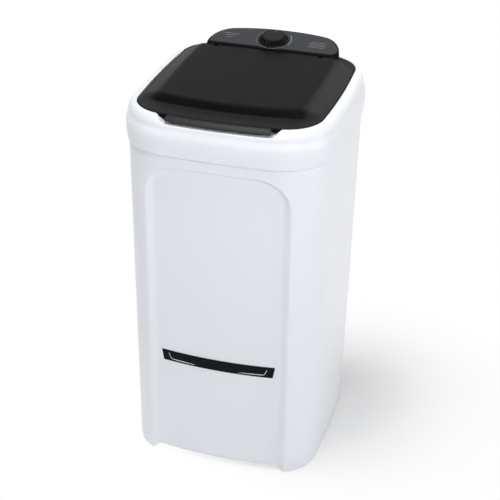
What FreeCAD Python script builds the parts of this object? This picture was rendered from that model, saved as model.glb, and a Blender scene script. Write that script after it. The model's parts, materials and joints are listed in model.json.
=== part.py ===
import FreeCAD, Part
import Sketcher
import math
import os

V = FreeCAD.Vector
X_AXIS = V(1, 0, 0)
Y_AXIS = V(0, 1, 0)
doc = FreeCAD.newDocument("WashingMachine")

# Driving sizes in millimetres and degrees. The origin is on the floor under the middle of the
# cabinet, +Z is up, the front faces -Y, and +X is to the right of a person facing the front.
# A size given as text follows an earlier one.
SIZES = {
    # cabinet shell
    "floor_gap": 2.0,
    "cabinet_height": 760.0,
    "base_half_width": 206.0,
    "base_half_depth": 219.0,
    "base_corner": 95.0,
    "top_half_width": "base_half_width + 11.3",
    "top_half_depth": "base_half_depth + 10.8",
    "top_corner": 113.0,
    "front_bow": 1700.0,
    "side_bow": 2900.0,
    "cabinet_wall": 3.5,
    # arched recess on the front
    "recess_half_width": "base_half_width - 35",
    "recess_top": "cabinet_height - 43",
    "recess_corner": 80.0,
    "recess_depth": 11.0,
    "recess_side_ramp": 1.2,
    "recess_top_ramp": 0.6,
    "recess_rise": 9.3,
    "recess_rise_half_width": "recess_half_width - 19",
    "recess_rise_run": 16.0,
    "panel_bow": 850.0,
    "panel_half_width": "base_half_width + 54",
    "panel_corner": 40.0,
    # strip on the front
    "badge_low": 243.0,
    "badge_height": 26.4,
    "badge_half_width": "recess_half_width - 44.6",
    "badge_end_slant": 4.4,
    "badge_thickness": 1.2,
    # feet and guard under the cabinet
    "foot_across": "base_half_width - 56",
    "foot_along": "base_half_depth - 56",
    "foot_radius": 16.0,
    "foot_stem_radius": 5.0,
    "gusset_radius": 45.0,
    "gusset_low": 14.0,
    "gusset_thickness": 6.0,
    "guard_thickness": 2.5,
    "guard_gap": 1.5,
    "guard_slot_length": 90.0,
    "guard_slot_width": 8.0,
    "guard_slot_pitch": 28.0,
    "guard_screw_radius": 2.2,
    "guard_screw_across": "foot_across - 24",
    "guard_screw_along": "foot_along - 17",
    # tub
    "opening_half_width": "top_half_width - 35.3",
    "opening_half_depth": "top_half_depth - 29.8",
    "opening_corner": 68.0,
    "floor_half_width": "opening_half_width - 24",
    "floor_half_depth": "opening_half_depth - 28",
    "floor_corner": 70.0,
    "tub_floor_level": 322.0,
    "tub_floor_thickness": 4.0,
    "tub_round": 18.0,
    "tub_wall": 3.0,
    "flange_thickness": 3.5,
    # collar
    "collar_bottom": "cabinet_height - 22",
    "collar_wall": 2.5,
    "skirt_proud": 3.0,
    "ridge_proud": 5.5,
    "ridge_low": "cabinet_height + 6",
    "ridge_high": "cabinet_height + 18",
    "shoulder_level": "cabinet_height + 37",
    "shoulder_proud": 0.5,
    "rim_level": "cabinet_height + 60",
    "seat_level": "rim_level - 10",
    "seat_thickness": 3.5,
    "collar_screw_radius": 2.0,
    "collar_screw_length": 16.0,
    "collar_boss_radius": 5.5,
    "collar_boss_across": "top_half_width - 44.3",
    "collar_boss_along": "top_half_depth - 41.8",
    # finger notch
    "notch_half_width": "top_half_width - 105.3",
    "notch_end_slant": 16.0,
    "notch_floor": "rim_level - 16",
    # lid
    "lid_half_width": "top_half_width - 21.8",
    "lid_half_depth": "top_half_depth - 12.8",
    "lid_centre": 3.0,
    "lid_corner": 78.0,
    "lid_front_bow": 1118.0,
    "lid_side_bow": 2222.0,
    "lid_gap": 1.3,
    "lid_wall": 2.5,
    "lid_rear": "top_half_depth - 88.8",
    "lid_rest_gap": 2.5,
    "lip_half_width": "notch_half_width - 4",
    "lip_low": "rim_level - 10.5",
    "lip_flare": 12.5,
    "lip_step": 1.0,
    "lip_thickness": 3.2,
    # raised platform of the lid
    "platform_half_width": "lid_half_width - 42",
    "platform_foot_half_width": "lid_half_width - 15.5",
    "platform_front": "lid_half_depth - 56",
    "platform_foot_front": "lid_half_depth - 51",
    "platform_front_level": "rim_level + 17",
    "platform_rear_level": "rim_level + 22",
    "platform_corner": 26.0,
    "platform_foot_corner": 34.0,
    "platform_front_bow": 800.0,
    # lid hinge
    "hinge_along": "lid_rear - 8",
    "hinge_level": "rim_level + 12",
    "hinge_across": "lid_half_width - 77.5",
    "hinge_pin_radius": 2.5,
    "hinge_barrel_radius": 5.0,
    "hinge_ear_thickness": 6.0,
    "hinge_side_gap": 1.5,
    "hinge_rib_thickness": 3.0,
    "bumper_radius": 4.0,
    "bumper_front": -100.0,
    "bumper_back": 60.0,
    # rear deck and control pod
    "deck_front": "lid_rear + 2.5",
    "deck_floor_thickness": 2.5,
    "deck_ledge": 3.0,
    "pod_front": "deck_front + 3.5",
    "pod_front_level": "rim_level + 23",
    "pod_slope": 11.4,
    "pod_half_width": "lid_half_width - 49.5",
    "pod_rear": "top_half_depth - 9.8",
    "pod_corner": 56.0,
    "pod_rear_bow": 500.0,
    "pod_side_bow": 1500.0,
    "pod_wall": 2.5,
    "pod_boss_radius": 4.5,
    "small_screw_radius": 1.75,
    "pod_screw_length": 12.0,
    "deck_screw_across": 60.0,
    "deck_screw_along": "pod_rear - 13",
    "pod_boss_across": "pod_half_width / 2 + 50",
    "pod_boss_front": "pod_front + 14",
    "pod_boss_back": "pod_rear - 38",
    "overlay_margin": 6.0,
    "overlay_thickness": 0.5,
    "overlay_hole_radius": 20.0,
    # timer and knob
    "knob_up": 40.5,
    "knob_skirt_radius": 35.0,
    "knob_grip_radius": 28.5,
    "knob_height": 11.0,
    "knob_gap": 0.8,
    "knob_wall": 3.0,
    "knob_roof": 3.5,
    "knob_skirt_wall": 1.8,
    "knob_skirt_rise": 2.4,
    "knob_edge": 1.5,
    "pointer_length": 11.0,
    "pointer_width": 2.0,
    "pointer_height": 0.5,
    "knob_flute_radius": 1.6,
    "timer_width": 56.0,
    "timer_depth": 44.0,
    "timer_height": 20.0,
    "timer_shaft_radius": 3.0,
    "timer_neck_radius": 6.0,
    "shaft_end_gap": 0.5,
    "timer_screw_across": 14.0,
    "timer_screw_radius": 1.5,
    "timer_screw_length": 7.0,
    # pulsator and its shaft
    "shaft_radius": 8.0,
    "shaft_hole_depth": 20.0,
    "pulsator_radius": "floor_half_width - 18",
    "pulsator_hub_radius": 18.0,
    "pulsator_hub_height": 26.0,
    "pulsator_roof": 12.0,
    "pulsator_dome": 8.0,
    "cap_radius": 15.0,
    "cap_height": 9.0,
    "cap_wall": 4.0,
    "pulsator_skin": 4.0,
    "pulsator_fin_width": 14.0,
    "pulsator_fin_height": 12.0,
    "pulsator_lift": 2.0,
    "pulsator_screw_radius": 3.0,
    # bearing housing
    "gasket_thickness": 3.0,
    "gasket_radius": 46.0,
    "housing_flange_radius": 50.0,
    "housing_flange_thickness": 7.0,
    "housing_barrel_radius": 22.0,
    "housing_barrel_length": 86.0,
    "neck_radius": 20.0,
    "neck_proud": 12.0,
    "bush_radius": 12.0,
    "bush_length": 25.0,
    "seal_radius": 14.0,
    "seal_height": 8.0,
    "nut_height": 9.0,
    "nut_radius": 33.0,
    # belt drive
    "motor_along": "base_half_depth - 84",
    "washer_space": 1.0,
    "washer_radius": 16.0,
    "driven_radius": "motor_along * 11 / 15",
    "driver_radius": "driven_radius / 4.5",
    "pulley_face": 12.0,
    "pulley_flange": 2.0,
    "pulley_flange_height": 3.0,
    "pulley_hub_length": 29.0,
    "pulley_hub_drop": 4.0,
    "pulley_rim": 6.0,
    "pulley_web": 4.0,
    "pulley_hole_radius": 18.0,
    "belt_width": 10.0,
    "belt_thickness": 3.5,
    "thread_radius": 6.0,
    "thread_proud": 2.0,
    "pulley_nut_height": 10.0,
    "pulley_nut_radius": 11.0,
    # motor
    "motor_radius": 66.0,
    "motor_shield_height": 26.0,
    "motor_shield_wall": 4.0,
    "stator_height": 62.0,
    "rotor_radius": 38.0,
    "air_gap": 0.4,
    "winding_outer": 60.0,
    "winding_inner": 42.0,
    "winding_height": 14.0,
    "rotor_end_gap": 2.0,
    "motor_shaft_radius": 6.0,
    "motor_shaft_proud": 4.0,
    "motor_bush_radius": 10.0,
    "motor_bush_length": 16.0,
    "motor_lug_ring": 69.0,
    "motor_lug_radius": 6.0,
    "motor_bolt_radius": 2.5,
    "motor_nut_height": 4.0,
    "motor_pulley_drop": 6.0,
    # motor plate on the tub's posts
    "plate_drop": 21.0,
    "plate_thickness": 3.0,
    "plate_margin": 13.0,
    "post_across": 80.0,
    "post_front": "motor_along - 49",
    "post_back": "motor_along + 42",
    "post_radius": 9.0,
    "mount_thickness": 5.0,
    "mount_radius": 11.0,
    "mount_screw_radius": 3.0,
    "mount_screw_grip": 16.0,
    # capacitor
    "capacitor_across": "base_half_width - 66",
    "capacitor_along": 30.0,
    "capacitor_radius": 20.0,
    "capacitor_length": 75.0,
    "capacitor_clear": 18.0,
    "capacitor_seam": 3.0,
    "clip_thickness": 2.0,
    "clip_height": 14.0,
    "clip_foot_length": 20.0,
    "clip_screw_radius": 2.0,
    "clip_screw_grip": 2.5,
    # drain
    "drain_across": "44 - floor_half_width",
    "drain_along": 104.0,
    "drain_level": 70.0,
    "drain_bore": 11.0,
    "barb_radius": 14.0,
    "drain_boss_length": 28.0,
    "hose_wall": 3.5,
    "hose_bend": 60.0,
    "spigot_flange_radius": 22.0,
    "spigot_flange_thickness": 9.0,
    "spigot_inner_length": 24.0,
    "spigot_neck_radius": 17.0,
    "spigot_neck_length": 6.4,
    "spigot_outer_radius": 15.0,
    "spigot_outer_length": 15.6,
    "spigot_hole_gap": 4.0,
    "grille_radius": 18.0,
    "grille_thickness": 2.5,
    "grille_hole_radius": 2.2,
    "hose_clip_width": 8.0,
    "hose_clip_thickness": 1.5,
    # supply cord gland
    "gland_across": "base_half_width - 86",
    "gland_level": 110.0,
    "gland_hole": 9.0,
    "gland_flange_radius": 12.0,
    "gland_flange_thickness": 4.0,
    "cord_radius": 4.2,
    # lint filter on the left wall of the tub
    "filter_depth": "opening_half_width - 28",
    "filter_thickness": 8.0,
    "filter_half_width": 31.5,
    "filter_low": "rim_level - 310",
    "filter_height": 170.0,
    "filter_border": 7.0,
    "filter_tab": 12.0,
    "filter_rail_width": 8.0,
    "filter_rail_grip": 4.5,
    "filter_gap": 0.5,
    "net_thickness": 1.0,
    # shared fits
    "running_gap": 0.06,
    "seat_gap": 0.2,
    "fixing_gap": 0.02,
    "screw_gap": 0.4,
    # how far cutting forms run past what they cut
    "overcut": 20.0,
    "overlap": 1.0,
    "belt_gap": 0.3,
}


class Size:
    """A number together with the sheet formula that gives it."""

    def __init__(self, text, value):
        self.text = text
        self.value = value

    def joined(self, sign, other, result):
        other = size_of(other)
        return Size(f"({self.text} {sign} {other.text})", result(self.value, other.value))

    def __add__(self, other):
        return self.joined("+", other, lambda a, b: a + b)

    def __sub__(self, other):
        return self.joined("-", other, lambda a, b: a - b)

    def __mul__(self, other):
        return self.joined("*", other, lambda a, b: a * b)

    def __truediv__(self, other):
        return self.joined("/", other, lambda a, b: a / b)

    def __neg__(self):
        return Size(f"(-{self.text})", -self.value)


def size_of(value):
    if isinstance(value, Size):
        return value
    return Size(f"({float(value)!r})", float(value))


def root(value):
    return Size(f"sqrt({value.text})", math.sqrt(value.value))


def sine(angle):
    return Size(f"sin({angle.text} * 1deg)", math.sin(math.radians(angle.value)))


def cosine(angle):
    return Size(f"cos({angle.text} * 1deg)", math.cos(math.radians(angle.value)))


def lean_of(rise, run):
    """The angle in degrees of a rise over a run."""
    ratio = rise / run
    return Size(f"(atan({ratio.text}) / 1deg)", math.degrees(math.atan(ratio.value)))


class Sheet:
    """The spreadsheet, with each driving size as an attribute."""

    def __init__(self):
        table = doc.addObject("Spreadsheet::Sheet", "Sizes")
        for row, (alias, value) in enumerate(SIZES.items(), start=1):
            table.set(f"A{row}", alias)
            follows = isinstance(value, str)
            table.set(f"B{row}", f"={value}" if follows else str(value))
            table.setAlias(f"B{row}", alias)
            if follows:
                table.recompute()
                value = float(table.get(alias))
            setattr(self, alias, Size(f"Sizes.{alias}", value))


s = Sheet()
doc.recompute()
nodes = []


def node(label, part):
    """Keeps a finished sub-part under its own label."""
    part.Label = label
    nodes.append(part)
    return part


def put(part, at, axis=None, angle=0.0):
    """Ties the place of a part, and its turn about one axis, to the sheet."""
    if axis is not None:
        turn = size_of(angle)
        part.Placement = FreeCAD.Placement(V(), FreeCAD.Rotation(axis, turn.value))
        part.setExpression("Placement.Rotation.Angle", turn.text)
    for letter, value in zip("xyz", at):
        part.setExpression(f"Placement.Base.{letter}", size_of(value).text)
    return part


# Drawings

def hold(drawing, constraint, size):
    """Adds a constraint whose value follows the sheet."""
    index = drawing.addConstraint(constraint)
    drawing.setExpression(f"Constraints[{index}]", size.text)


def polygon(drawing, points):
    """A closed run of straight edges, each corner held by its distances from the origin."""
    points = [(size_of(u), size_of(v)) for u, v in points]
    count = len(points)
    first = drawing.GeometryCount
    for index, (u, v) in enumerate(points):
        next_u, next_v = points[(index + 1) % count]
        start = V(u.value, v.value, 0)
        end = V(next_u.value, next_v.value, 0)
        drawing.addGeometry(Part.LineSegment(start, end))
    for index, (u, v) in enumerate(points):
        edge = first + index
        follower = first + (index + 1) % count
        drawing.addConstraint(Sketcher.Constraint("Coincident", edge, 2, follower, 1))
    for index, (u, v) in enumerate(points):
        edge = first + index
        hold(drawing, Sketcher.Constraint("DistanceX", -1, 1, edge, 1, u.value), u)
        hold(drawing, Sketcher.Constraint("DistanceY", -1, 1, edge, 1, v.value), v)


def sketch(name, at=(0, 0, 0), axis=None, angle=0.0):
    return put(doc.addObject("Sketcher::SketchObject", name), at, axis, angle)


class Outline:
    """A rectangle with bowed sides and round corners about the point (0, centre)."""

    def __init__(self, half_width, half_depth, corner, front_bow, side_bow, centre=0.0):
        self.half_width = half_width
        self.half_depth = half_depth
        self.corner = corner
        self.front_bow = front_bow
        self.side_bow = side_bow
        self.centre = size_of(centre)

    def grown(self, amount):
        return Outline(
            self.half_width + amount,
            self.half_depth + amount,
            self.corner + amount,
            self.front_bow + amount,
            self.side_bow + amount,
            self.centre,
        )

    def mixed(self, other, share):
        """The outline that lies between this one and another."""
        def between(a, b):
            return a + (b - a) * share
        return Outline(
            between(self.half_width, other.half_width),
            between(self.half_depth, other.half_depth),
            between(self.corner, other.corner),
            between(self.front_bow, other.front_bow),
            between(self.side_bow, other.side_bow),
            between(self.centre, other.centre),
        )

    def sketch(self, name, level, lean=None):
        """Eight tangent arcs, drawn counter-clockwise from the front."""
        corner, front, side = self.corner.value, self.front_bow.value, self.side_bow.value
        front_centre = front - self.half_depth.value
        side_centre = side - self.half_width.value
        # The corner's centre is where circles about the two bow centres cross.
        reach = math.hypot(side_centre, front_centre)
        along = ((front - corner) ** 2 - (side - corner) ** 2 + reach ** 2) / (2 * reach)
        across = math.sqrt((front - corner) ** 2 - along ** 2)
        cx = (-side_centre * along + front_centre * across) / reach
        cy = (front_centre * along + side_centre * across) / reach - front_centre
        steep = math.atan2(-cy - front_centre, cx)
        flat = math.atan2(-cy, cx + side_centre)
        half_turn = math.pi
        arcs = [
            (0, front_centre, front, -half_turn - steep, steep),
            (cx, -cy, corner, steep, flat),
            (-side_centre, 0, side, flat, -flat),
            (cx, cy, corner, -flat, -steep),
            (0, -front_centre, front, -steep, half_turn + steep),
            (-cx, cy, corner, half_turn + steep, half_turn + flat),
            (side_centre, 0, side, half_turn + flat, half_turn - flat),
            (-cx, -cy, corner, half_turn - flat, half_turn - steep),
        ]
        if lean is None:
            drawing = sketch(name, (0, self.centre, level))
        else:
            drawing = sketch(name, (0, self.centre, level), X_AXIS, lean)
        for x, y, radius, start, end in arcs:
            circle = Part.Circle(V(x, y, 0), V(0, 0, 1), radius)
            drawing.addGeometry(Part.ArcOfCircle(circle, start, end))
        add = drawing.addConstraint
        for index in range(8):
            add(Sketcher.Constraint("Tangent", index, 2, (index + 1) % 8, 1))
        for index, line in ((0, -2), (4, -2), (2, -1), (6, -1)):
            add(Sketcher.Constraint("PointOnObject", index, 3, line))
        for one, other in ((0, 4), (2, 6), (1, 3), (1, 5), (1, 7)):
            add(Sketcher.Constraint("Equal", one, other))
        hold(drawing, Sketcher.Constraint("Radius", 0, front), self.front_bow)
        hold(drawing, Sketcher.Constraint("Radius", 2, side), self.side_bow)
        hold(drawing, Sketcher.Constraint("Radius", 1, corner), self.corner)
        to_front = self.front_bow - self.half_depth
        to_side = self.side_bow - self.half_width
        hold(drawing, Sketcher.Constraint("DistanceY", -1, 1, 0, 3, front_centre), to_front)
        hold(drawing, Sketcher.Constraint("DistanceY", 4, 3, -1, 1, front_centre), to_front)
        hold(drawing, Sketcher.Constraint("DistanceX", 2, 3, -1, 1, side_centre), to_side)
        hold(drawing, Sketcher.Constraint("DistanceX", -1, 1, 6, 3, side_centre), to_side)
        return drawing


def arch(name, half_width, low, top, corner, along, lean):
    """An upright arch with a straight top and two round corners, leaning with the front."""
    drawing = sketch(name, (0, along, s.floor_gap), X_AXIS, lean + 90)
    w, b, t, r = half_width.value, low.value, top.value, corner.value
    quarter = math.pi / 2
    right = Part.Circle(V(w - r, t - r, 0), V(0, 0, 1), r)
    left = Part.Circle(V(r - w, t - r, 0), V(0, 0, 1), r)
    drawing.addGeometry(Part.LineSegment(V(-w, b, 0), V(w, b, 0)))
    drawing.addGeometry(Part.LineSegment(V(w, b, 0), V(w, t - r, 0)))
    drawing.addGeometry(Part.ArcOfCircle(right, 0, quarter))
    drawing.addGeometry(Part.LineSegment(V(w - r, t, 0), V(r - w, t, 0)))
    drawing.addGeometry(Part.ArcOfCircle(left, quarter, 2 * quarter))
    drawing.addGeometry(Part.LineSegment(V(-w, t - r, 0), V(-w, b, 0)))
    add = drawing.addConstraint
    for index in range(6):
        kind = "Tangent" if 1 <= index <= 4 else "Coincident"
        add(Sketcher.Constraint(kind, index, 2, (index + 1) % 6, 1))
    for index in (0, 3):
        add(Sketcher.Constraint("Horizontal", index))
    for index in (1, 5):
        add(Sketcher.Constraint("Vertical", index))
    add(Sketcher.Constraint("Equal", 2, 4))
    hold(drawing, Sketcher.Constraint("Radius", 2, r), corner)
    hold(drawing, Sketcher.Constraint("DistanceX", -1, 1, 1, 1, w), half_width)
    hold(drawing, Sketcher.Constraint("DistanceX", 5, 1, -1, 1, w), half_width)
    hold(drawing, Sketcher.Constraint("DistanceY", -1, 1, 0, 1, b), low)
    hold(drawing, Sketcher.Constraint("DistanceY", -1, 1, 3, 1, t), top)
    return drawing


def belt_loop(drawing, driven, driver, distance):
    """Two tangent runs round a large pulley at the origin and a small one further along."""
    big, small, apart = driven.value, driver.value, distance.value
    lean = math.asin((big - small) / apart)
    side = V(math.cos(lean), math.sin(lean), 0)
    other = V(-side.x, side.y, 0)
    far = V(0, apart, 0)
    first = drawing.GeometryCount
    round_driven = Part.Circle(V(), V(0, 0, 1), big)
    round_driver = Part.Circle(far, V(0, 0, 1), small)
    drawing.addGeometry(Part.ArcOfCircle(round_driven, math.pi - lean, 2 * math.pi + lean))
    drawing.addGeometry(Part.LineSegment(side * big, far + side * small))
    drawing.addGeometry(Part.ArcOfCircle(round_driver, lean, math.pi - lean))
    drawing.addGeometry(Part.LineSegment(far + other * small, other * big))
    add = drawing.addConstraint
    for index in range(4):
        add(Sketcher.Constraint("Tangent", first + index, 2, first + (index + 1) % 4, 1))
    add(Sketcher.Constraint("Coincident", first, 3, -1, 1))
    add(Sketcher.Constraint("PointOnObject", first + 2, 3, -2))
    hold(drawing, Sketcher.Constraint("DistanceY", -1, 1, first + 2, 3, apart), distance)
    hold(drawing, Sketcher.Constraint("Radius", first, big), driven)
    hold(drawing, Sketcher.Constraint("Radius", first + 2, small), driver)


# Solids

def loft(name, sections):
    solid = doc.addObject("Part::Loft", name)
    solid.Sections = sections
    solid.Solid = True
    solid.Ruled = True
    return solid


def extrude(name, drawing, length):
    solid = doc.addObject("Part::Extrusion", name)
    solid.Base = drawing
    solid.DirMode = "Normal"
    solid.Solid = True
    solid.setExpression("LengthFwd", size_of(length).text)
    return solid


def slab(name, outline, low, high):
    """An outline raised between two levels."""
    return extrude(name, outline.sketch(f"{name}_outline", low), size_of(high) - low)


def side_slab(name, points, from_y, to_y):
    """A front-view polygon carried along Y."""
    drawing = sketch(f"{name}_outline", (0, to_y, 0), X_AXIS, 90)
    polygon(drawing, points)
    return extrude(name, drawing, size_of(to_y) - from_y)


def box(name, low, high):
    solid = doc.addObject("Part::Box", name)
    for side, start, end in zip(("Length", "Width", "Height"), low, high):
        solid.setExpression(side, (size_of(end) - start).text)
    return put(solid, low)


def face_box(name, low, high):
    """A box that stands on the pod's face: across it, up it and above it."""
    solid = doc.addObject("Part::Box", name)
    for side, start, end in zip(("Length", "Width", "Height"), low, high):
        solid.setExpression(side, (size_of(end) - start).text)
    return put(solid, face_point(*low), X_AXIS, s.pod_slope)


def cylinder(name, radius, height, at, axis=None, angle=0.0):
    solid = doc.addObject("Part::Cylinder", name)
    solid.setExpression("Radius", size_of(radius).text)
    solid.setExpression("Height", size_of(height).text)
    return put(solid, at, axis, angle)


def fuse(name, *parts):
    solid = doc.addObject("Part::MultiFuse", name)
    solid.Shapes = list(parts)
    return solid


def common(name, *parts):
    solid = doc.addObject("Part::MultiCommon", name)
    solid.Shapes = list(parts)
    return solid


def cut(name, base, *tools):
    solid = doc.addObject("Part::Cut", name)
    solid.Base = base
    solid.Tool = tools[0] if len(tools) == 1 else fuse(f"{name}_tools", *tools)
    return solid


def group(label, parts):
    """Like pieces that share one node."""
    together = doc.addObject("Part::Compound", f"{label}_group")
    together.Links = parts
    return node(label, together)


def origin_of(body, role):
    return [feature for feature in body.Origin.OriginFeatures if feature.Role == role][0]


def body_sketch(body, name, plane):
    drawing = body.newObject("Sketcher::SketchObject", name)
    drawing.AttachmentSupport = [(origin_of(body, plane), "")]
    drawing.MapMode = "FlatFace"
    return drawing


def turned(name, profile, at=(0, 0, 0), axis=None, angle=0.0):
    """A body of revolution from a profile of radii and heights."""
    body = doc.addObject("PartDesign::Body", name)
    drawing = body_sketch(body, f"{name}_profile", "XZ_Plane")
    polygon(drawing, profile)
    revolution = body.newObject("PartDesign::Revolution", f"{name}_revolution")
    revolution.Profile = drawing
    revolution.ReferenceAxis = (drawing, ["V_Axis"])
    revolution.Angle = 360
    return put(body, at, axis, angle)


def around(body, feature, count):
    """Repeats a feature of a body evenly about its Z axis."""
    pattern = body.newObject("PartDesign::PolarPattern", f"{feature.Name}_ring")
    pattern.Originals = [feature]
    pattern.Axis = (origin_of(body, "Z_Axis"), [""])
    pattern.Angle = 360
    pattern.Occurrences = count
    body.Tip = pattern


def ring_of_holes(body, name, radius, ring_radius, count):
    """Round holes right through a body, evenly spaced on a circle."""
    drawing = body_sketch(body, f"{name}_circle", "XY_Plane")
    circle = Part.Circle(V(ring_radius.value, 0, 0), V(0, 0, 1), radius.value)
    drawing.addGeometry(circle)
    drawing.addConstraint(Sketcher.Constraint("PointOnObject", 0, 3, -1))
    hold(drawing, Sketcher.Constraint("DistanceX", -1, 1, 0, 3, ring_radius.value), ring_radius)
    hold(drawing, Sketcher.Constraint("Radius", 0, radius.value), radius)
    doc.recompute()
    before = body.Shape.Volume
    pocket = body.newObject("PartDesign::Pocket", name)
    pocket.Profile = drawing
    pocket.Type = "ThroughAll"
    pocket.SideType = "Symmetric"
    doc.recompute()
    if body.Shape.Volume >= before:
        raise RuntimeError(f"{name} cuts nothing")
    around(body, pocket, count)


def screw(name, radius, length, at, axis=None, angle=0.0):
    """A plain screw whose head stands on the point it is put at."""
    head_radius, head_height = radius * 2.1, radius * 1.1
    profile = [
        (0, -length),
        (radius, -length),
        (radius, 0),
        (head_radius, 0),
        (head_radius, head_height),
        (0, head_height),
    ]
    return turned(name, profile, at, axis, angle)


def tube(name, inner, outer, height, at, axis=None, angle=0.0):
    return turned(name, [(inner, 0), (outer, 0), (outer, height), (inner, height)], at, axis, angle)


def hexagon(name, radius, bore, height, at):
    """A hexagon nut with a plain bore."""
    body = doc.addObject("PartDesign::Body", name)
    drawing = body_sketch(body, f"{name}_outline", "XY_Plane")
    corners = [math.radians(60 * step) for step in range(6)]
    polygon(drawing, [(radius * math.cos(turn), radius * math.sin(turn)) for turn in corners])
    drawing.addGeometry(Part.Circle(V(), V(0, 0, 1), bore.value))
    hole = drawing.GeometryCount - 1
    drawing.addConstraint(Sketcher.Constraint("Coincident", hole, 3, -1, 1))
    hold(drawing, Sketcher.Constraint("Radius", hole, bore.value), bore)
    pad = body.newObject("PartDesign::Pad", f"{name}_pad")
    pad.Profile = drawing
    pad.setExpression("Length", size_of(height).text)
    return put(body, at)


# Outlines and levels that several sub-parts share

CABINET_BASE = Outline(
    s.base_half_width, s.base_half_depth, s.base_corner, s.front_bow, s.side_bow
)
CABINET_TOP = Outline(
    s.top_half_width, s.top_half_depth, s.top_corner, s.front_bow, s.side_bow
)
PANEL_BASE = Outline(
    s.panel_half_width,
    s.base_half_depth - s.recess_depth,
    s.panel_corner,
    s.panel_bow,
    s.side_bow,
)
PANEL_TOP = Outline(
    s.panel_half_width,
    s.top_half_depth - s.recess_depth,
    s.panel_corner,
    s.panel_bow,
    s.side_bow,
)
LID = Outline(
    s.lid_half_width, s.lid_half_depth, s.lid_corner, s.lid_front_bow, s.lid_side_bow, s.lid_centre
)
LID_OPENING = LID.grown(s.lid_gap)
TUB_OPENING = Outline(
    s.opening_half_width, s.opening_half_depth, s.opening_corner, s.lid_front_bow, s.lid_side_bow
)
TUB_FLOOR = Outline(
    s.floor_half_width, s.floor_half_depth, s.floor_corner, s.lid_front_bow, s.lid_side_bow
)
POD = Outline(
    s.pod_half_width,
    s.pod_half_width / 2,
    s.pod_corner,
    s.pod_rear_bow,
    s.pod_side_bow,
    s.pod_rear - s.pod_half_width / 2,
)

FLANGE_TOP = s.cabinet_height + s.flange_thickness
TUB_UNDER = s.tub_floor_level - s.tub_floor_thickness
HOUSING_TOP = TUB_UNDER - s.gasket_thickness
HOUSING_BOTTOM = HOUSING_TOP - s.housing_flange_thickness - s.housing_barrel_length
NECK_TOP = s.tub_floor_level + s.neck_proud
PULSATOR_BOTTOM = NECK_TOP + s.pulsator_lift
PULLEY_TOP = HOUSING_BOTTOM - s.washer_space
PULLEY_BOTTOM = PULLEY_TOP - s.pulley_hub_length
RIM_BOTTOM = PULLEY_BOTTOM + s.pulley_hub_drop
RIM_HEIGHT = s.pulley_face + s.pulley_flange * 2
BELT_LOW = RIM_BOTTOM + (RIM_HEIGHT - s.belt_width) / 2
PLATE_TOP = RIM_BOTTOM - s.plate_drop
MOTOR_TOP = PLATE_TOP - s.plate_thickness
STATOR_TOP = MOTOR_TOP - s.motor_shield_height
STATOR_BOTTOM = STATOR_TOP - s.stator_height
MOTOR_BOTTOM = STATOR_BOTTOM - s.motor_shield_height
POST_BOTTOM = PLATE_TOP + s.mount_thickness
GUARD_LOW = s.gusset_low - s.guard_thickness
SHAFT_TOP = PULSATOR_BOTTOM + s.pulsator_hub_height - s.pulsator_roof
HOSE_OUTER = s.barb_radius + s.running_gap + s.hose_wall
FILTER_FACE = -s.filter_depth
FILTER_BACK = FILTER_FACE - s.filter_thickness
CLEAR = s.overcut
OVER = s.overlap


def height_share(level):
    """How far up the cabinet a level lies, from 0 at its base to 1 at its top edge."""
    return (size_of(level) - s.floor_gap) / (s.cabinet_height - s.floor_gap)


def cabinet_at(level):
    """The cabinet's outline at a level, between its base and its top edge."""
    return CABINET_BASE.mixed(CABINET_TOP, height_share(level))


def panel_at(level):
    """The outline whose front is the floor of the front recess at a level."""
    return PANEL_BASE.mixed(PANEL_TOP, height_share(level))


def rear_wall(across, level):
    """How far along Y the inner face of the cabinet's rear wall lies at a place."""
    sagitta = s.front_bow - root(s.front_bow * s.front_bow - across * across)
    return cabinet_at(level).half_depth - s.cabinet_wall - sagitta


def face_point(across, up, above):
    """A point given on the pod's sloping face: across it, up it and above it."""
    up, above = size_of(up), size_of(above)
    along = s.pod_front + up * cosine(s.pod_slope) - above * sine(s.pod_slope)
    level = s.pod_front_level + up * sine(s.pod_slope) + above * cosine(s.pod_slope)
    return across, along, level


def four(across, along):
    """The four places at plus and minus two distances."""
    return [(x, y) for x in (-across, across) for y in (-along, along)]


# Cabinet, feet and guard

def tapered(name, low, high, inset, outline_at=cabinet_at):
    """The cabinet's or the panel's tapering form between two levels, drawn in all round."""
    ends = [outline_at(level).grown(-size_of(inset)) for level in (low, high)]
    sections = [
        outline.sketch(f"{name}_{end}", level)
        for outline, end, level in zip(ends, ("low", "high"), (low, high))
    ]
    return loft(name, sections)


def recess_form(name, growth):
    """The arched block with ramped sides that the front recess is cut with."""
    lean = lean_of(s.top_half_depth - s.base_half_depth, s.cabinet_height - s.floor_gap)
    side, top = s.recess_side_ramp, s.recess_top_ramp
    side_growth = root(side * side + 1) * growth
    top_growth = root(top * top + 1) * growth
    sections = []
    for end, out in (("mouth", s.recess_depth), ("floor", -s.recess_depth * 4)):
        widening = side * out + side_growth
        rise = top * out + top_growth
        sections.append(arch(
            f"{name}_{end}",
            s.recess_half_width + widening,
            size_of(-CLEAR),
            s.recess_top - s.floor_gap + rise,
            s.recess_corner + (widening + rise) / 2,
            -(s.base_half_depth + out),
            lean,
        ))
    return loft(name, sections)


def rise_form():
    """The shallow cut that lifts the recess's bottom edge between the front corners."""
    outer = s.recess_rise_half_width
    inner = outer - s.recess_rise_run
    low, high = s.floor_gap, s.floor_gap + s.recess_rise
    under = low - CLEAR
    points = [
        (-outer, under),
        (outer, under),
        (outer, low),
        (inner, high),
        (-inner, high),
        (-outer, low),
    ]
    behind = -(s.base_half_depth - s.recess_depth * 4)
    return side_slab("recess_rise_cut", points, -s.base_half_depth - CLEAR, behind)


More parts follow.
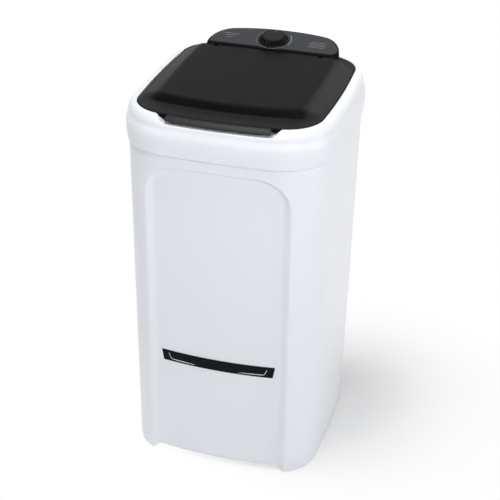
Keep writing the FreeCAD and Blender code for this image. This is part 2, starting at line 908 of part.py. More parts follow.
def make_cabinet():
    bottom, top = s.floor_gap, s.cabinet_height
    outer = tapered("cabinet_outer", bottom, top, 0)
    inner = tapered("cabinet_inner", bottom - OVER, top + OVER, s.cabinet_wall)
    panel = tapered("cabinet_panel", bottom - CLEAR, top + CLEAR, 0, panel_at)
    panel_back = tapered(
        "cabinet_panel_back", bottom - CLEAR, top + CLEAR, s.cabinet_wall, panel_at
    )
    recess = cut("recess", recess_form("recess_block", 0), panel)
    recess_back = cut("recess_back", recess_form("recess_back_block", s.cabinet_wall), panel_back)
    skin = cut("cabinet_skin", outer, recess)
    hollow = cut("cabinet_hollow", inner, recess_back)
    shell = cut("cabinet_shell", skin, hollow)
    discs = [
        cylinder("gusset_disc", s.gusset_radius, s.gusset_thickness, (x, y, s.gusset_low))
        for x, y in four(s.foot_across, s.foot_along)
    ]
    gussets = common("gussets", fuse("gusset_discs", *discs), skin)
    rear = s.base_half_depth - CLEAR * 2
    reach = CLEAR * 4
    drain = cylinder(
        "drain_hole",
        s.barb_radius + s.spigot_hole_gap,
        reach,
        (s.drain_across, rear, s.drain_level),
        X_AXIS,
        -90,
    )
    gland = cylinder(
        "gland_hole", s.gland_hole, reach, (s.gland_across, rear, s.gland_level), X_AXIS, -90
    )
    holes = [drain, gland, rise_form()]
    for x, y in four(s.foot_across, s.foot_along):
        radius = s.foot_stem_radius + s.fixing_gap
        holes.append(cylinder("foot_hole", radius, CLEAR * 2, (x, y, 0)))
    for x, y in four(s.guard_screw_across, s.guard_screw_along):
        holes.append(cylinder("guard_screw_hole", s.guard_screw_radius + s.fixing_gap, CLEAR * 2, (x, y, 0)))
    return node("cabinet", cut("cabinet_cut", fuse("cabinet_body", shell, gussets), *holes))


def make_badge_strip():
    """A thin bare strip that follows the recess floor."""
    low = s.badge_low - CLEAR
    high = s.badge_low + s.badge_height + CLEAR
    face = tapered("badge_face", low, high, -s.seat_gap - s.badge_thickness, panel_at)
    back = tapered("badge_back", low, high, -s.seat_gap, panel_at)
    top = s.badge_low + s.badge_height
    lower = s.badge_half_width - s.badge_end_slant
    shape = side_slab(
        "badge_shape",
        [
            (-lower, s.badge_low),
            (lower, s.badge_low),
            (s.badge_half_width, top),
            (-s.badge_half_width, top),
        ],
        -s.top_half_depth - CLEAR,
        -s.base_half_depth / 2,
    )
    node("badge_strip", common("badge_common", cut("badge_sheet", face, back), shape))


def make_feet_and_guard():
    feet = []
    for x, y in four(s.foot_across, s.foot_along):
        profile = [
            (0, 0),
            (s.foot_radius, 0),
            (s.foot_radius, s.gusset_low),
            (s.foot_stem_radius, s.gusset_low),
            (s.foot_stem_radius, s.gusset_low + s.gusset_thickness),
            (0, s.gusset_low + s.gusset_thickness),
        ]
        feet.append(turned("foot_pad", profile, (x, y, 0)))
    group("foot_pads", feet)
    rooms = [
        slab(name, outline_at(GUARD_LOW).grown(-s.cabinet_wall - s.guard_gap), GUARD_LOW, s.gusset_low)
        for name, outline_at in (("guard_shell_room", cabinet_at), ("guard_panel_room", panel_at))
    ]
    plate = common("guard_plate", *rooms)
    openings = []
    for step in range(-3, 4):
        along = s.guard_slot_pitch * step
        low = (-s.guard_slot_length, along - s.guard_slot_width / 2, GUARD_LOW - OVER)
        high = (s.guard_slot_length, along + s.guard_slot_width / 2, s.gusset_low + OVER)
        openings.append(box("guard_slot", low, high))
    for x, y in four(s.foot_across, s.foot_along):
        openings.append(cylinder("guard_foot_hole", s.foot_radius + s.guard_gap, CLEAR, (x, y, 0)))
    screws = []
    for x, y in four(s.guard_screw_across, s.guard_screw_along):
        openings.append(cylinder("guard_hole", s.guard_screw_radius + s.screw_gap, CLEAR, (x, y, 0)))
        length = s.guard_thickness + s.gusset_thickness
        screws.append(screw("guard_screw", s.guard_screw_radius, length, (x, y, GUARD_LOW), X_AXIS, 180))
    node("base_guard", cut("guard_cut", plate, *openings))
    group("guard_screws", screws)


# Tub

def tub_form(name, growth, drop, top):
    """The tub's tapering form with a rounded bottom edge."""
    floor = s.tub_floor_level - drop
    share = 1 - math.cos(math.pi / 4)
    steps = (
        (floor, -s.tub_round),
        (floor + s.tub_round * share, -s.tub_round * share),
        (floor + s.tub_round, size_of(0)),
    )
    sections = [
        TUB_FLOOR.grown(inset + growth).sketch(f"{name}_round", level) for level, inset in steps
    ]
    sections.append(TUB_OPENING.grown(growth).sketch(f"{name}_top", top))
    return loft(name, sections)


def make_tub():
    outer = tub_form("tub_outer", s.tub_wall, s.tub_floor_thickness, s.cabinet_height)
    inner = tub_form("tub_inner", size_of(0), size_of(0), FLANGE_TOP)
    flange = slab("tub_flange", CABINET_TOP, s.cabinet_height, FLANGE_TOP)
    post_height = s.tub_floor_level + s.tub_round * 3 - POST_BOTTOM
    posts = [
        cylinder("motor_post", s.post_radius, post_height, (x, y, POST_BOTTOM))
        for x, y in post_places()
    ]
    boss_low = TUB_UNDER - s.drain_boss_length
    boss = cylinder(
        "drain_boss",
        s.barb_radius,
        s.drain_boss_length + OVER,
        (s.drain_across, s.drain_along, boss_low),
    )
    solid = cut("tub_shell", fuse("tub_solid", outer, flange, boss, *posts), inner)
    rails = common("filter_rails", make_filter_rails(), outer)
    holes = [
        cylinder("neck_hole", s.neck_radius + s.fixing_gap, CLEAR, (0, 0, TUB_UNDER - OVER)),
        cylinder(
            "drain_bore",
            s.drain_bore,
            s.drain_boss_length + CLEAR,
            (s.drain_across, s.drain_along, boss_low - OVER),
        ),
        cylinder(
            "clip_screw_hole",
            s.clip_screw_radius + s.fixing_gap,
            s.clip_screw_grip,
            (*clip_screw_place(), TUB_UNDER),
        ),
    ]
    for x, y in post_places():
        radius = s.mount_screw_radius + s.fixing_gap
        holes.append(cylinder("post_hole", radius, s.mount_screw_grip, (x, y, POST_BOTTOM)))
    for x, y in four(s.collar_boss_across, s.collar_boss_along):
        at = (x, y, s.cabinet_height - CLEAR / 2)
        holes.append(cylinder("flange_hole", s.collar_screw_radius + s.screw_gap, CLEAR, at))
    node("wash_tub", cut("tub_cut", fuse("tub_body", solid, rails), *holes))


def make_filter_rails():
    """Two grooved rails with a stop, before they are trimmed to the tub's wall."""
    inner = s.filter_half_width - s.filter_rail_grip
    outer = inner + s.filter_rail_width + s.filter_rail_grip
    back = -s.opening_half_width
    front = FILTER_FACE + s.filter_rail_grip
    top = s.filter_low + s.filter_height
    stop_low = s.filter_low - s.filter_rail_grip
    solid = fuse(
        "rail_solid",
        box("rail_left", (back, -outer, stop_low), (front, -inner, top)),
        box("rail_right", (back, inner, stop_low), (front, outer, top)),
        box("rail_stop", (back, -outer, stop_low), (front, outer, s.filter_low)),
    )
    groove = box(
        "rail_groove",
        (FILTER_BACK - s.filter_gap, -s.filter_half_width - s.filter_gap, s.filter_low),
        (FILTER_FACE + s.filter_gap, s.filter_half_width + s.filter_gap, top + OVER),
    )
    return cut("rails", solid, groove)


def make_filter():
    half = s.filter_half_width
    low = s.filter_low
    top = low + s.filter_height
    window_half = half - s.filter_border
    window_low = low + s.filter_border
    window_top = top - s.filter_border
    frame = fuse(
        "filter_plate",
        box("filter_board", (FILTER_BACK, -half, low), (FILTER_FACE, half, top)),
        box("filter_tab", (FILTER_BACK, -half / 2, top - OVER), (FILTER_FACE, half / 2, top + s.filter_tab)),
    )
    window = box(
        "filter_window",
        (FILTER_BACK - OVER, -window_half, window_low),
        (FILTER_FACE + OVER, window_half, window_top),
    )
    node("lint_filter_frame", cut("filter_frame_cut", frame, window))
    middle = FILTER_BACK + s.filter_thickness / 2
    net = box(
        "filter_net_sheet",
        (middle - s.net_thickness / 2, -window_half, window_low),
        (middle + s.net_thickness / 2, window_half, window_top),
    )
    node("lint_filter_net", net)


# Collar

def make_collar():
    wall = s.collar_wall
    proud = (
        (s.collar_bottom, s.skirt_proud),
        (s.ridge_low, s.ridge_proud),
        (s.ridge_high, s.ridge_proud),
        (s.shoulder_level, s.shoulder_proud),
    )
    sections = [
        CABINET_TOP.grown(out).sketch("collar_skirt", level) for level, out in proud
    ]
    shoulder = CABINET_TOP.grown(s.shoulder_proud)
    steps = 5
    for step in range(1, steps + 1):
        turn = math.pi / 2 * step / steps
        level = s.shoulder_level + (s.rim_level - s.shoulder_level) * math.sin(turn)
        outline = shoulder.mixed(LID_OPENING, 1 - math.cos(turn))
        sections.append(outline.sketch("collar_shoulder", level))
    outer = loft("collar_outer", sections)
    ceiling = s.seat_level - s.seat_thickness
    under = [
        CABINET_TOP.grown(out - wall).sketch("collar_under", level) for level, out in proud[1:]
    ]
    under.insert(0, CABINET_TOP.grown(s.skirt_proud - wall).sketch("collar_under", s.collar_bottom - OVER))
    under.append(CABINET_TOP.grown(-wall * 2.5).sketch("collar_under", ceiling))
    hollow = loft("collar_hollow", under)
    curtain = slab("collar_curtain", TUB_OPENING.grown(wall), FLANGE_TOP, s.rim_level)
    notch_under = notch_form("notch_under", wall)
    bosses = [
        cylinder("collar_boss", s.collar_boss_radius, ceiling - FLANGE_TOP + OVER, (x, y, FLANGE_TOP))
        for x, y in four(s.collar_boss_across, s.collar_boss_along)
    ]
    space = cut("collar_space", hollow, curtain, notch_under, *bosses)
    through = slab("collar_through", TUB_OPENING, s.collar_bottom - CLEAR, s.rim_level + CLEAR)
    rebate = slab("collar_rebate", LID_OPENING, s.seat_level, s.rim_level + CLEAR)
    holes = [
        cylinder("collar_screw_hole", s.collar_screw_radius + s.fixing_gap, CLEAR, (x, y, FLANGE_TOP - OVER))
        for x, y in four(s.collar_boss_across, s.collar_boss_along)
    ]
    for x in deck_screw_places():
        at = (x, s.deck_screw_along, s.seat_level - CLEAR / 2)
        holes.append(cylinder("seat_hole", s.small_screw_radius + s.fixing_gap, CLEAR, at))
    notch = notch_form("notch", size_of(0))
    node("top_collar", cut("collar_cut", outer, space, through, rebate, notch, *holes))
    radius, length = s.collar_screw_radius, s.collar_screw_length
    screws = [
        screw("collar_screw", radius, length, (x, y, s.cabinet_height), X_AXIS, 180)
        for x, y in four(s.collar_boss_across, s.collar_boss_along)
    ]
    group("collar_screws", screws)


def notch_form(name, growth):
    """The block with slanted ends that the finger notch is cut with."""
    low = s.notch_floor - growth
    half = s.notch_half_width + growth
    rise = s.rim_level + CLEAR - s.notch_floor
    wide = half + s.notch_end_slant * (rise / (s.rim_level - s.notch_floor))
    top = s.rim_level + CLEAR
    points = [(-half, low), (half, low), (wide, top), (-wide, top)]
    return side_slab(name, points, -s.top_half_depth - CLEAR, -s.opening_half_depth + CLEAR)


# Lid

def platform_form(name, growth, drop):
    """The raised middle of the lid, from its foot on the rim to its tilted top."""
    far = s.lid_half_depth
    front, foot_front = s.platform_front, s.platform_foot_front
    lean = lean_of(s.platform_rear_level - s.platform_front_level, s.lid_rear + s.platform_front)
    rise = (s.platform_rear_level - s.platform_front_level) / (s.lid_rear + s.platform_front)
    foot = Outline(
        s.platform_foot_half_width,
        (far + foot_front) / 2,
        s.platform_foot_corner,
        s.platform_front_bow,
        s.lid_side_bow,
        (far - foot_front) / 2,
    )
    top = Outline(
        s.platform_half_width,
        (far + front) / 2,
        s.platform_corner,
        s.platform_front_bow,
        s.lid_side_bow,
        (far - front) / 2,
    )
    level = s.platform_front_level + rise * (top.centre + front) - drop
    sections = [
        foot.grown(growth).sketch(f"{name}_foot", s.rim_level - OVER - drop),
        top.grown(growth).sketch(f"{name}_top", level, lean),
    ]
    return loft(name, sections)


def lip_form(name, drop):
    """The grip lip's form, flaring down and out from the lid's rim, lowered by an amount."""
    sections = [
        LID.grown(s.lip_flare).sketch(f"{name}_low", s.lip_low - drop),
        LID.sketch(f"{name}_high", s.rim_level - s.lip_step - drop),
    ]
    return loft(name, sections)


def make_lid():
    wall = s.lid_wall
    low = s.seat_level + s.lid_rest_gap
    outer = fuse(
        "lid_outer",
        slab("lid_rim", LID, low, s.rim_level),
        platform_form("platform", size_of(0), size_of(0)),
    )
    hollow = fuse(
        "lid_hollow",
        slab("lid_rim_hollow", LID.grown(-wall), low - OVER, s.rim_level - wall),
        platform_form("platform_hollow", -wall, wall),
    )
    far = s.lid_half_depth * 2
    ceiling = s.platform_rear_level + CLEAR
    behind = box("behind_lid", (-far, s.lid_rear, low - CLEAR), (far, far, ceiling))
    rear_wall_form = box("lid_rear_wall", (-far, s.lid_rear - wall, low - CLEAR), (far, far, ceiling))
    lip_ring = cut(
        "lip_ring",
        lip_form("lip_outer", size_of(0)),
        lip_form("lip_under", s.lip_thickness),
        slab("lip_inner", LID.grown(-wall), s.lip_low - OVER, s.rim_level),
    )
    lip_span = box(
        "lip_span",
        (-s.lip_half_width, -far, s.lip_low - OVER),
        (s.lip_half_width, -s.lid_half_depth / 2, low + CLEAR),
    )
    shell = cut("lid_shell", outer, cut("lid_space", hollow, rear_wall_form), behind)
    rib_low = s.hinge_level - s.hinge_barrel_radius - OVER * 2
    rib_high = s.platform_rear_level - wall / 2
    rib_front = s.hinge_along - s.hinge_barrel_radius - OVER * 2
    near = s.hinge_ear_thickness / 2 + s.hinge_side_gap
    ribs, slots, bores, pins = [], [], [], []
    for side in (-1, 1):
        centre = s.hinge_across * side
        for edge in (-near - s.hinge_rib_thickness, near):
            start = centre + edge
            ribs.append(box(
                "hinge_rib",
                (start, rib_front, rib_low),
                (start + s.hinge_rib_thickness, s.lid_rear - OVER, rib_high),
            ))
        slots.append(box(
            "hinge_slot",
            (centre - near, s.hinge_along - OVER * 2, low - CLEAR),
            (centre + near, s.lid_rear + OVER, ceiling),
        ))
        reach = near + s.hinge_rib_thickness
        start = (centre - reach, s.hinge_along, s.hinge_level)
        radius = s.hinge_pin_radius
        bores.append(cylinder("pin_bore", radius + s.fixing_gap, reach * 2, start, Y_AXIS, 90))
        pins.append(cylinder("hinge_pin", radius, reach * 2, start, Y_AXIS, 90))
    lip = common("lip", lip_ring, lip_span)
    node("lid", cut("lid_cut", fuse("lid_body", shell, lip, *ribs), *slots, *bores))
    group("lid_hinge_pins", pins)


def make_bumpers():
    """Rubber pads on the collar's seat that the lid's rim comes down on."""
    height = s.lid_rest_gap - s.seat_gap / 2
    pads = []
    for along in (s.bumper_front, s.bumper_back):
        sagitta = s.lid_side_bow - root(s.lid_side_bow * s.lid_side_bow - along * along)
        across = s.lid_half_width - sagitta - s.bumper_radius
        for x in (-across, across):
            pads.append(cylinder("lid_bumper", s.bumper_radius, height, (x, along, s.seat_level)))
    group("lid_bumpers", pads)


# Rear deck and control pod

def deck_screw_places():
    return (-s.deck_screw_across, s.deck_screw_across)


def pod_boss_places():
    rows = (s.pod_boss_front, s.pod_boss_back)
    return [(x, y) for x in (-s.pod_boss_across, s.pod_boss_across) for y in rows]


def pod_form(name, inset, low, depth):
    """The pod's block under its sloping face, drawn in and lowered by given amounts."""
    far = s.pod_half_width * 2
    block = slab(f"{name}_block", POD.grown(-size_of(inset)), low, s.pod_front_level + CLEAR * 4)
    under = face_box(f"{name}_under", (-far, inset, -CLEAR * 5), (far, far, -size_of(depth)))
    ahead = box(
        f"{name}_ahead",
        (-far, -far, -CLEAR),
        (far, s.pod_front + inset, s.pod_front_level + CLEAR * 5),
    )
    return cut(f"{name}_form", common(f"{name}_trim", block, under), ahead)


def make_deck():
    far = s.lid_half_depth * 2
    floor = s.seat_level + s.deck_floor_thickness
    plate = slab("deck_plate", LID, s.seat_level, s.rim_level)
    ahead = box(
        "ahead_of_deck", (-far, -far, s.seat_level - OVER), (far, s.deck_front, s.rim_level + OVER)
    )
    margin = s.pod_wall + s.deck_ledge
    pocket_block = slab("deck_pocket_block", POD.grown(-margin), floor, s.rim_level + OVER)
    pocket_ahead = box(
        "deck_pocket_ahead", (-far, -far, floor - OVER), (far, s.pod_front + margin, s.rim_level + OVER * 2)
    )
    pocket = cut("deck_pocket", pocket_block, pocket_ahead)
    ears, bores = [], []
    half = s.hinge_ear_thickness / 2
    barrel = s.hinge_barrel_radius
    for side in (-1, 1):
        start = s.hinge_across * side - half
        at = (start, s.hinge_along, s.hinge_level)
        ears.append(cylinder("ear_barrel", barrel, s.hinge_ear_thickness, at, Y_AXIS, 90))
        arm = sketch("ear_arm_outline", (start, 0, 0), V(1, 1, 1), 120)
        back = s.pod_front - s.seat_gap
        polygon(arm, [
            (s.hinge_along - barrel * 0.6, s.hinge_level - barrel * 0.8),
            (s.deck_front, s.rim_level - OVER),
            (back, s.rim_level - OVER),
            (back, s.hinge_level - barrel * 1.2),
            (s.hinge_along + barrel * 0.6, s.hinge_level + barrel * 0.8),
        ])
        ears.append(extrude("ear_arm", arm, s.hinge_ear_thickness))
        bore = s.hinge_pin_radius + s.running_gap
        start = (s.hinge_across * side - half * 2, s.hinge_along, s.hinge_level)
        bores.append(cylinder("ear_bore", bore, s.hinge_ear_thickness * 2, start, Y_AXIS, 90))
    places = [(x, s.deck_screw_along) for x in deck_screw_places()] + pod_boss_places()
    radius = s.small_screw_radius + s.screw_gap
    holes = [cylinder("deck_hole", radius, CLEAR, (x, y, s.seat_level - OVER)) for x, y in places]
    body = cut("deck_body", plate, ahead, pocket)
    node("rear_deck", cut("deck_cut", fuse("deck_ears", body, *ears), *bores, *holes))
    deck_grip = s.deck_floor_thickness + s.seat_thickness
    deck_screws = [
        screw("deck_screw", s.small_screw_radius, deck_grip, (x, s.deck_screw_along, floor))
        for x in deck_screw_places()
    ]
    group("deck_screws", deck_screws)
    pod_screws = [
        screw("pod_screw", s.small_screw_radius, s.pod_screw_length, (x, y, s.seat_level), X_AXIS, 180)
        for x, y in pod_boss_places()
    ]
    group("pod_screws", pod_screws)


def make_pod():
    floor = s.seat_level + s.deck_floor_thickness
    outer = pod_form("pod_outer", size_of(0), s.rim_level, size_of(0))
    inner = pod_form("pod_inner", s.pod_wall, s.rim_level - OVER, s.pod_wall)
    far = s.pod_half_width * 2
    bosses = [
        cylinder("pod_boss", s.pod_boss_radius, CLEAR * 3, (x, y, floor))
        for x, y in pod_boss_places()
    ]
    under = face_box("pod_boss_trim", (-far, -CLEAR, -CLEAR * 6), (far, far, -s.pod_wall / 2))
    trimmed = common("pod_bosses", fuse("pod_boss_posts", *bosses), under)
    neck = cylinder(
        "pod_neck_hole",
        s.timer_neck_radius + s.seat_gap,
        s.pod_wall * 3,
        face_point(0, s.knob_up, -s.pod_wall * 2),
        X_AXIS,
        s.pod_slope,
    )
    holes = [neck]
    for x, y in pod_boss_places():
        radius = s.small_screw_radius + s.fixing_gap
        holes.append(cylinder("pod_boss_hole", radius, s.pod_screw_length, (x, y, floor - OVER)))
    for x in (-s.timer_screw_across, s.timer_screw_across):
        at = face_point(x, s.knob_up, -s.pod_wall * 2)
        radius = s.timer_screw_radius + s.fixing_gap
        holes.append(cylinder("pod_timer_hole", radius, s.pod_wall * 3, at, X_AXIS, s.pod_slope))
    shell = cut("pod_shell", outer, inner)
    node("control_pod", cut("pod_cut", fuse("pod_body", shell, trimmed), *holes))
    sheet_block = pod_form("overlay", s.overlay_margin, s.rim_level, -s.overlay_thickness)
    below = face_box("overlay_below", (-far, -CLEAR, -CLEAR * 6), (far, far, 0))
    ring = cylinder(
        "overlay_hole",
        s.overlay_hole_radius,
        CLEAR,
        face_point(0, s.knob_up, -CLEAR / 2),
        X_AXIS,
        s.pod_slope,
    )
    node("panel_overlay", cut("overlay_cut", sheet_block, below, ring))


def make_timer():
    half, depth = s.timer_width / 2, s.timer_depth / 2
    top = -s.pod_wall
    case = face_box(
        "timer_case",
        (-half, s.knob_up - depth, top - s.timer_height),
        (half, s.knob_up + depth, top),
    )
    place = face_point(0, s.knob_up, top)
    neck = cylinder("timer_neck", s.timer_neck_radius, s.pod_wall, place, X_AXIS, s.pod_slope)
    bore = cylinder(
        "timer_bore",
        s.timer_shaft_radius + s.running_gap,
        s.timer_height,
        face_point(0, s.knob_up, top - s.timer_height / 2),
        X_AXIS,
        s.pod_slope,
    )
    holes = [bore]
    screws = []
    for x in (-s.timer_screw_across, s.timer_screw_across):
        radius, length = s.timer_screw_radius, s.timer_screw_length
        at = face_point(x, s.knob_up, -length)
        holes.append(cylinder("timer_hole", radius + s.fixing_gap, length, at, X_AXIS, s.pod_slope))
        seat = face_point(x, s.knob_up, 0)
        screws.append(screw("timer_screw", radius, length, seat, X_AXIS, s.pod_slope))
    node("timer_body", cut("timer_cut", fuse("timer_block", case, neck), *holes))
    group("timer_screws", screws)
    shaft_low = top - s.timer_height / 2 + s.shaft_end_gap
    shaft = cylinder(
        "timer_shaft_rod",
        s.timer_shaft_radius,
        s.knob_height - s.knob_roof - s.shaft_end_gap - shaft_low,
        face_point(0, s.knob_up, shaft_low),
        X_AXIS,
        s.pod_slope,
    )
    node("timer_shaft", shaft)


def make_knob():
    """A fluted grip on a wide skirt, hollow underneath."""
    skirt, grip, top, gap = s.knob_skirt_radius, s.knob_grip_radius, s.knob_height, s.knob_gap
    bore = s.timer_shaft_radius + s.fixing_gap
    roof = top - s.knob_roof
    wall, thin, edge = s.knob_wall, s.knob_skirt_wall, s.knob_edge
    low, ledge = gap + thin, gap + thin + s.knob_skirt_rise
    profile = [
        (bore, low),
        (bore + wall, low),
        (bore + wall, roof),
        (grip - wall - edge, roof),
        (grip - wall, low),
        (skirt - thin, low),
        (skirt - thin, gap),
        (skirt, gap),
        (skirt, low),
        (grip + edge, ledge),
        (grip, ledge + edge),
        (grip - edge, top - edge),
        (grip - edge * 2, top),
        (0, top),
        (0, roof),
        (bore, roof),
    ]
    knob = turned("timer_knob", profile, face_point(0, s.knob_up, 0), X_AXIS, s.pod_slope)
    ring_of_flutes(knob)
    nodes.append(knob)
    half = s.pointer_width / 2
    far = s.knob_up + grip - edge * 3
    near = far - s.pointer_length
    pointer = face_box("pointer_bar", (-half, near, top), (half, far, top + s.pointer_height))
    node("knob_pointer", pointer)


def ring_of_flutes(knob):
    """Shallow upright grooves round the knob's grip."""
    grip, radius = s.knob_grip_radius, s.knob_flute_radius
    ledge = s.knob_gap + s.knob_skirt_wall + s.knob_skirt_rise + s.knob_edge
    drawing = body_sketch(knob, "flute_circle", "XY_Plane")
    drawing.setExpression("AttachmentOffset.Base.z", ledge.text)
    centre = grip + radius * 0.45
    drawing.addGeometry(Part.Circle(V(centre.value, 0, 0), V(0, 0, 1), radius.value))
    drawing.addConstraint(Sketcher.Constraint("PointOnObject", 0, 3, -1))
    hold(drawing, Sketcher.Constraint("DistanceX", -1, 1, 0, 3, centre.value), centre)
    hold(drawing, Sketcher.Constraint("Radius", 0, radius.value), radius)
    doc.recompute()
    before = knob.Shape.Volume
    flute = knob.newObject("PartDesign::Pocket", "flute")
    flute.Profile = drawing
    flute.Reversed = True
    flute.setExpression("Length", s.knob_height.text)
    doc.recompute()
    if knob.Shape.Volume >= before:
        raise RuntimeError("the flutes cut nothing")
    around(knob, flute, 24)


# Pulsator, bearing and belt drive

def make_pulsator():
    low = PULSATOR_BOTTOM
    hub, edge, skin = s.pulsator_hub_radius, s.pulsator_radius, s.pulsator_skin
    bore = s.shaft_radius + s.fixing_gap
    top = low + s.pulsator_hub_height
    roof = SHAFT_TOP + s.shaft_end_gap
    rim = low + skin * 0.5
    screw_bore = s.pulsator_screw_radius + s.fixing_gap
    profile = [
        (bore, low),
        (hub, low),
        (hub, low + skin * 1.25),
        (edge - skin, rim),
        (edge - skin, rim - skin * 1.5),
        (edge, rim - skin * 1.5),
        (edge, rim + skin * 0.75),
        (edge * 0.45, low + skin * 3),
        (hub + s.pulsator_dome, top),
        (screw_bore, top),
        (screw_bore, roof),
        (bore, roof),
    ]
    body = turned("pulsator", profile)
    fin = body_sketch(body, "fin_outline", "XZ_Plane")
    polygon(fin, [
        (hub, low + skin * 2),
        (edge - skin, rim + skin * 0.3),
        (edge - skin * 3, low + skin * 2.6),
        (edge * 0.5, low + skin * 3 + s.pulsator_fin_height),
        (hub + s.pulsator_dome, top - skin / 2),
    ])
    pad = body.newObject("PartDesign::Pad", "fin")
    pad.Profile = fin
    pad.SideType = "Symmetric"
    pad.setExpression("Length", s.pulsator_fin_width.text)
    doc.recompute()
    around(body, pad, 4)
    nodes.append(body)
    length = s.pulsator_roof + s.shaft_hole_depth * 0.75
    node("pulsator_screw", screw("pulsator_bolt", s.pulsator_screw_radius, length, (0, 0, top)))
    wide, tall, wall = s.cap_radius, s.cap_height, s.cap_wall
    cap = [
        (0, tall),
        (wide * 0.6, tall * 0.9),
        (wide * 0.93, tall * 0.5),
        (wide, 0),
        (wide - wall, 0),
        (wide - wall, tall - wall),
        (0, tall - wall),
    ]
    node("pulsator_cap", turned("pulsator_button", cap, (0, 0, top)))


def make_shaft():
    nut_low = PULLEY_BOTTOM - s.pulley_nut_height
    hole = s.pulsator_screw_radius + s.fixing_gap
    profile = [
        (0, nut_low - s.thread_proud),
        (s.thread_radius, nut_low - s.thread_proud),
        (s.thread_radius, PULLEY_BOTTOM),
        (s.shaft_radius, PULLEY_BOTTOM),
        (s.shaft_radius, SHAFT_TOP),
        (hole, SHAFT_TOP),
        (hole, SHAFT_TOP - s.shaft_hole_depth),
        (0, SHAFT_TOP - s.shaft_hole_depth),
    ]
    nodes.append(turned("drive_shaft", profile))
    nut_bore = s.thread_radius + s.fixing_gap
    nodes.append(hexagon("pulley_nut", s.pulley_nut_radius, nut_bore, s.pulley_nut_height, (0, 0, nut_low)))
    inner = s.shaft_radius + s.fixing_gap
    thickness = s.washer_space - s.seat_gap
    at = (0, 0, PULLEY_TOP + s.seat_gap / 2)
    nodes.append(tube("thrust_washer", inner, s.washer_radius, thickness, at))


def make_bearing():
    low, top = HOUSING_BOTTOM, NECK_TOP
    flange_low = HOUSING_TOP - s.housing_flange_thickness
    seal_low = top - s.seal_height
    upper_low = seal_low - s.bush_length - s.washer_space
    lower_top = low + s.bush_length
    bush, middle = s.bush_radius, s.shaft_radius + (s.bush_radius - s.shaft_radius) / 2
    profile = [
        (bush, low),
        (s.housing_barrel_radius, low),
        (s.housing_barrel_radius, flange_low),
        (s.housing_flange_radius, flange_low),
        (s.housing_flange_radius, HOUSING_TOP),
        (s.neck_radius, HOUSING_TOP),
        (s.neck_radius, top),
        (s.seal_radius, top),
        (s.seal_radius, seal_low),
        (bush, seal_low),
        (bush, upper_low),
        (middle, upper_low),
        (middle, lower_top),
        (bush, lower_top),
    ]
    nodes.append(turned("bearing_housing", profile))
    bore = s.shaft_radius + s.running_gap
    outer = bush - s.fixing_gap
    nodes.append(tube("upper_bush", bore, outer, s.bush_length, (0, 0, upper_low)))
    nodes.append(tube("lower_bush", bore, outer, s.bush_length, (0, 0, low)))
    nodes.append(tube("shaft_seal", bore, s.seal_radius - s.fixing_gap, s.seal_height, (0, 0, seal_low)))
    neck = s.neck_radius + s.fixing_gap
    gasket = tube("housing_gasket", neck, s.gasket_radius, s.gasket_thickness, (0, 0, HOUSING_TOP))
    nodes.append(gasket)
    nodes.append(hexagon("housing_nut", s.nut_radius, neck, s.nut_height, (0, 0, s.tub_floor_level)))


def make_pulleys():
    low, high = RIM_BOTTOM, RIM_BOTTOM + RIM_HEIGHT
    face_low, face_high = low + s.pulley_flange, high - s.pulley_flange
    web_low = low + (RIM_HEIGHT - s.pulley_web) / 2
    web_high = web_low + s.pulley_web
    rim, hub = s.driven_radius, s.pulsator_hub_radius
    lip, inner = rim + s.pulley_flange_height, rim - s.pulley_rim
    bore = s.shaft_radius + s.fixing_gap
    profile = [
        (bore, PULLEY_BOTTOM),
        (hub, PULLEY_BOTTOM),
        (hub, web_low),
        (inner, web_low),
        (inner, low),
        (lip, low),
        (lip, face_low),
        (rim, face_low),
        (rim, face_high),
        (lip, face_high),
        (lip, high),
        (inner, high),
        (inner, web_high),
        (hub, web_high),
        (hub, PULLEY_TOP),
        (bore, PULLEY_TOP),
    ]
    driven = turned("driven_pulley", profile)
    ring_of_holes(driven, "web_hole", s.pulley_hole_radius, (inner + hub) / 2, 6)
    nodes.append(driven)
    small = s.driver_radius
    edge = small + s.pulley_flange_height
    hub = s.motor_shaft_radius * 2
    bore = s.motor_shaft_radius + s.fixing_gap
    profile = [
        (bore, low - s.motor_pulley_drop),
        (hub, low - s.motor_pulley_drop),
        (hub, low),
        (edge, low),
        (edge, face_low),
        (small, face_low),
        (small, face_high),
        (edge, face_high),
        (edge, high),
        (bore, high),
    ]
    nodes.append(turned("motor_pulley", profile, (0, s.motor_along, 0)))
    belt = doc.addObject("PartDesign::Body", "drive_belt")
    drawing = body_sketch(belt, "belt_loops", "XY_Plane")
    inner_gap = s.belt_gap
    outer_gap = s.belt_gap + s.belt_thickness
    belt_loop(drawing, rim + outer_gap, small + outer_gap, s.motor_along)
    belt_loop(drawing, rim + inner_gap, small + inner_gap, s.motor_along)
    pad = belt.newObject("PartDesign::Pad", "belt_pad")
    pad.Profile = drawing
    pad.setExpression("Length", s.belt_width.text)
    nodes.append(put(belt, (0, 0, BELT_LOW)))


# Motor

